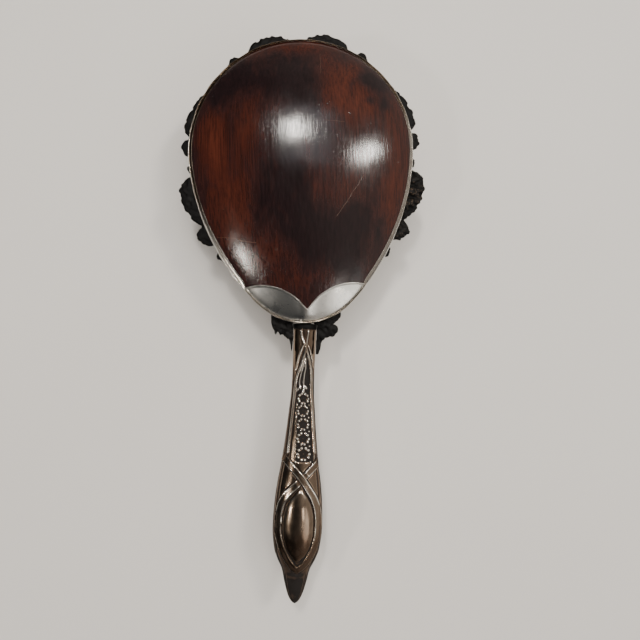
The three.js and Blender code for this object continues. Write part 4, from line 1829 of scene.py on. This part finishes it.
@dataclass
class Setting:
    """The floor, the lamps, the surrounding light and the camera."""

    camera_at: tuple[float, float, float] = (5.8, 0.9, 290.0)
    lens: float = 36.1
    roll: float = -1.73
    sensor: float = 36.0
    floor_side: float = 4.0
    floor_z: float = -0.0002
    dark_side: Colour = (0.045, 0.047, 0.05)
    light_side: Colour = (0.55, 0.5, 0.45)
    lamps: tuple[SoftLamp, ...] = (
        SoftLamp("crown_lamp", (-51.0, 437.0, 900.0), 62.0, 3.4, (1.0, 0.95, 0.88), stretch=1.9),
        SoftLamp("window_lamp", (541.0, 307.0, 900.0), 88.0, 3.9, (1.0, 0.95, 0.88), stretch=2.3),
        SoftLamp("low_lamp", (-677.0, -270.0, 900.0), 58.0, 2.0, (1.0, 0.92, 0.82), stretch=1.7),
        SoftLamp("faint_lamp", (330.0, -370.0, 900.0), 90.0, 0.3, (1.0, 0.95, 0.88)),
        SoftLamp("crown_sheen", (40.0, 400.0, 900.0), 360.0, 0.6, (0.95, 0.95, 1.0)),
        SoftLamp("throat_sheen", (640.0, -640.0, 900.0), 450.0, 1.2, (1.0, 0.98, 0.94)),
        SoftLamp("ceiling", (100.0, 150.0, 1300.0), 900.0, 11.0, (1.0, 0.97, 0.93), False),
    )

    def room(self) -> bpy.types.World:
        """The light all round: dim on the left, lighter on the right, cloudy in between.

        Returns:
            The room's light.
        """
        world = bpy.data.worlds.new("room")
        world.use_nodes = True
        nodes, links = world.node_tree.nodes, world.node_tree.links
        coordinates = nodes.new("ShaderNodeTexCoord")
        side = nodes.new("ShaderNodeVectorMath")
        side.operation = "DOT_PRODUCT"
        side.inputs[1].default_value = (0.8, 0.1, -0.15)
        noise = nodes.new("ShaderNodeTexNoise")
        noise.inputs["Scale"].default_value = 2.6
        noise.inputs["Detail"].default_value = 2.0
        total = nodes.new("ShaderNodeMath")
        total.operation = "ADD"
        ramp = nodes.new("ShaderNodeValToRGB")
        stops = ((0.15, self.dark_side), (1.0, self.light_side))
        for element, (place, colour) in zip(ramp.color_ramp.elements, stops):
            element.position = place
            element.color = (*colour, 1.0)
        links.new(coordinates.outputs["Generated"], side.inputs[0])
        links.new(coordinates.outputs["Generated"], noise.inputs["Vector"])
        links.new(side.outputs["Value"], total.inputs[0])
        links.new(noise.outputs["Fac"], total.inputs[1])
        links.new(total.outputs["Value"], ramp.inputs["Fac"])
        links.new(ramp.outputs["Color"], nodes["Background"].inputs["Color"])
        return world

    def build(self) -> None:
        """Sets the brush out on a pale floor and aims the camera down at it."""
        side, z = self.floor_side, self.floor_z
        mesh = bpy.data.meshes.new("floor")
        corners = [(-side, -side, z), (side, -side, z), (side, side, z), (-side, side, z)]
        mesh.from_pydata(corners, [], [(0, 1, 2, 3)])
        mesh.materials.append(PaleFloor().build())
        floor = bpy.data.objects.new("floor", mesh)
        bpy.context.scene.collection.objects.link(floor)

        bpy.context.scene.world = self.room()
        for lamp in self.lamps:
            lamp.build()

        data = bpy.data.cameras.new("camera")
        data.sensor_width = self.sensor
        data.lens = self.lens
        camera = bpy.data.objects.new("camera", data)
        placed = Matrix.Translation(Vector(self.camera_at) * MM)
        camera.matrix_world = placed @ Matrix.Rotation(math.radians(self.roll), 4, "Z")
        bpy.context.scene.collection.objects.link(camera)
        bpy.context.scene.camera = camera


# ---- Assembly ----


def dress_hidden_nodes() -> None:
    """Gives the steel and the pitch inside the brush their own finishes."""
    steel = HiddenStuff("forged_steel", (0.16, 0.15, 0.145), 1.0, 0.45).build()
    pitch = HiddenStuff("pitch", (0.02, 0.014, 0.01), 0.0, 0.8).build()
    stuffs = {"tang": steel, "tang_pin_front": steel, "tang_pin_rear": steel, "handle_filler": pitch}
    for name, finish in stuffs.items():
        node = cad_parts[name]
        for holder in node.material_slots:
            holder.material = finish
        if not node.material_slots:
            node.data.materials.append(finish)
        LOG.info("dressed %s", name)


def main() -> None:
    """Builds the brush in order, from the back to the handle, and then its setting."""
    logging.basicConfig(level=logging.INFO, format="%(name)s: %(message)s")
    black = BlackenedMetal().build()
    # The rim's brown tone stands for tarnish and painted dark reflection; the mount's blue-grey tone is
    # painted dark reflection.
    rim_silver = PolishedSilver(tarnish_and_reflection_tone=(0.15, 0.112, 0.08), tarnish=0.3, name="rim_silver")
    mount_silver = PolishedSilver(tarnish_and_reflection_tone=(0.14, 0.15, 0.157), tarnish=0.2, dullness=0.24, name="mount_silver")
    builds: tuple[Callable[[], object], ...] = (
        lambda: WoodenBack().build(FiguredWood().build()),
        lambda: RimBand().build(rim_silver.build()),
        lambda: ThroatMount().build(mount_silver.build()),
        lambda: ScrolledBorder().build(black),
        lambda: BristleStock().build(PlainWood().build()),
        lambda: BristleRows().build(Bristle().build()),
        lambda: Handle().build(StampedSilver().build()),
        lambda: Handle().collar(black),
    )
    for build in builds:
        made = build()
        for piece in made if isinstance(made, list) else [made]:
            LOG.info("made %s with %d faces", piece.name, len(piece.data.polygons))
    dress_hidden_nodes()
    Setting().build()
    LOG.info("sizes written")


if __name__ == "__main__":
    main()
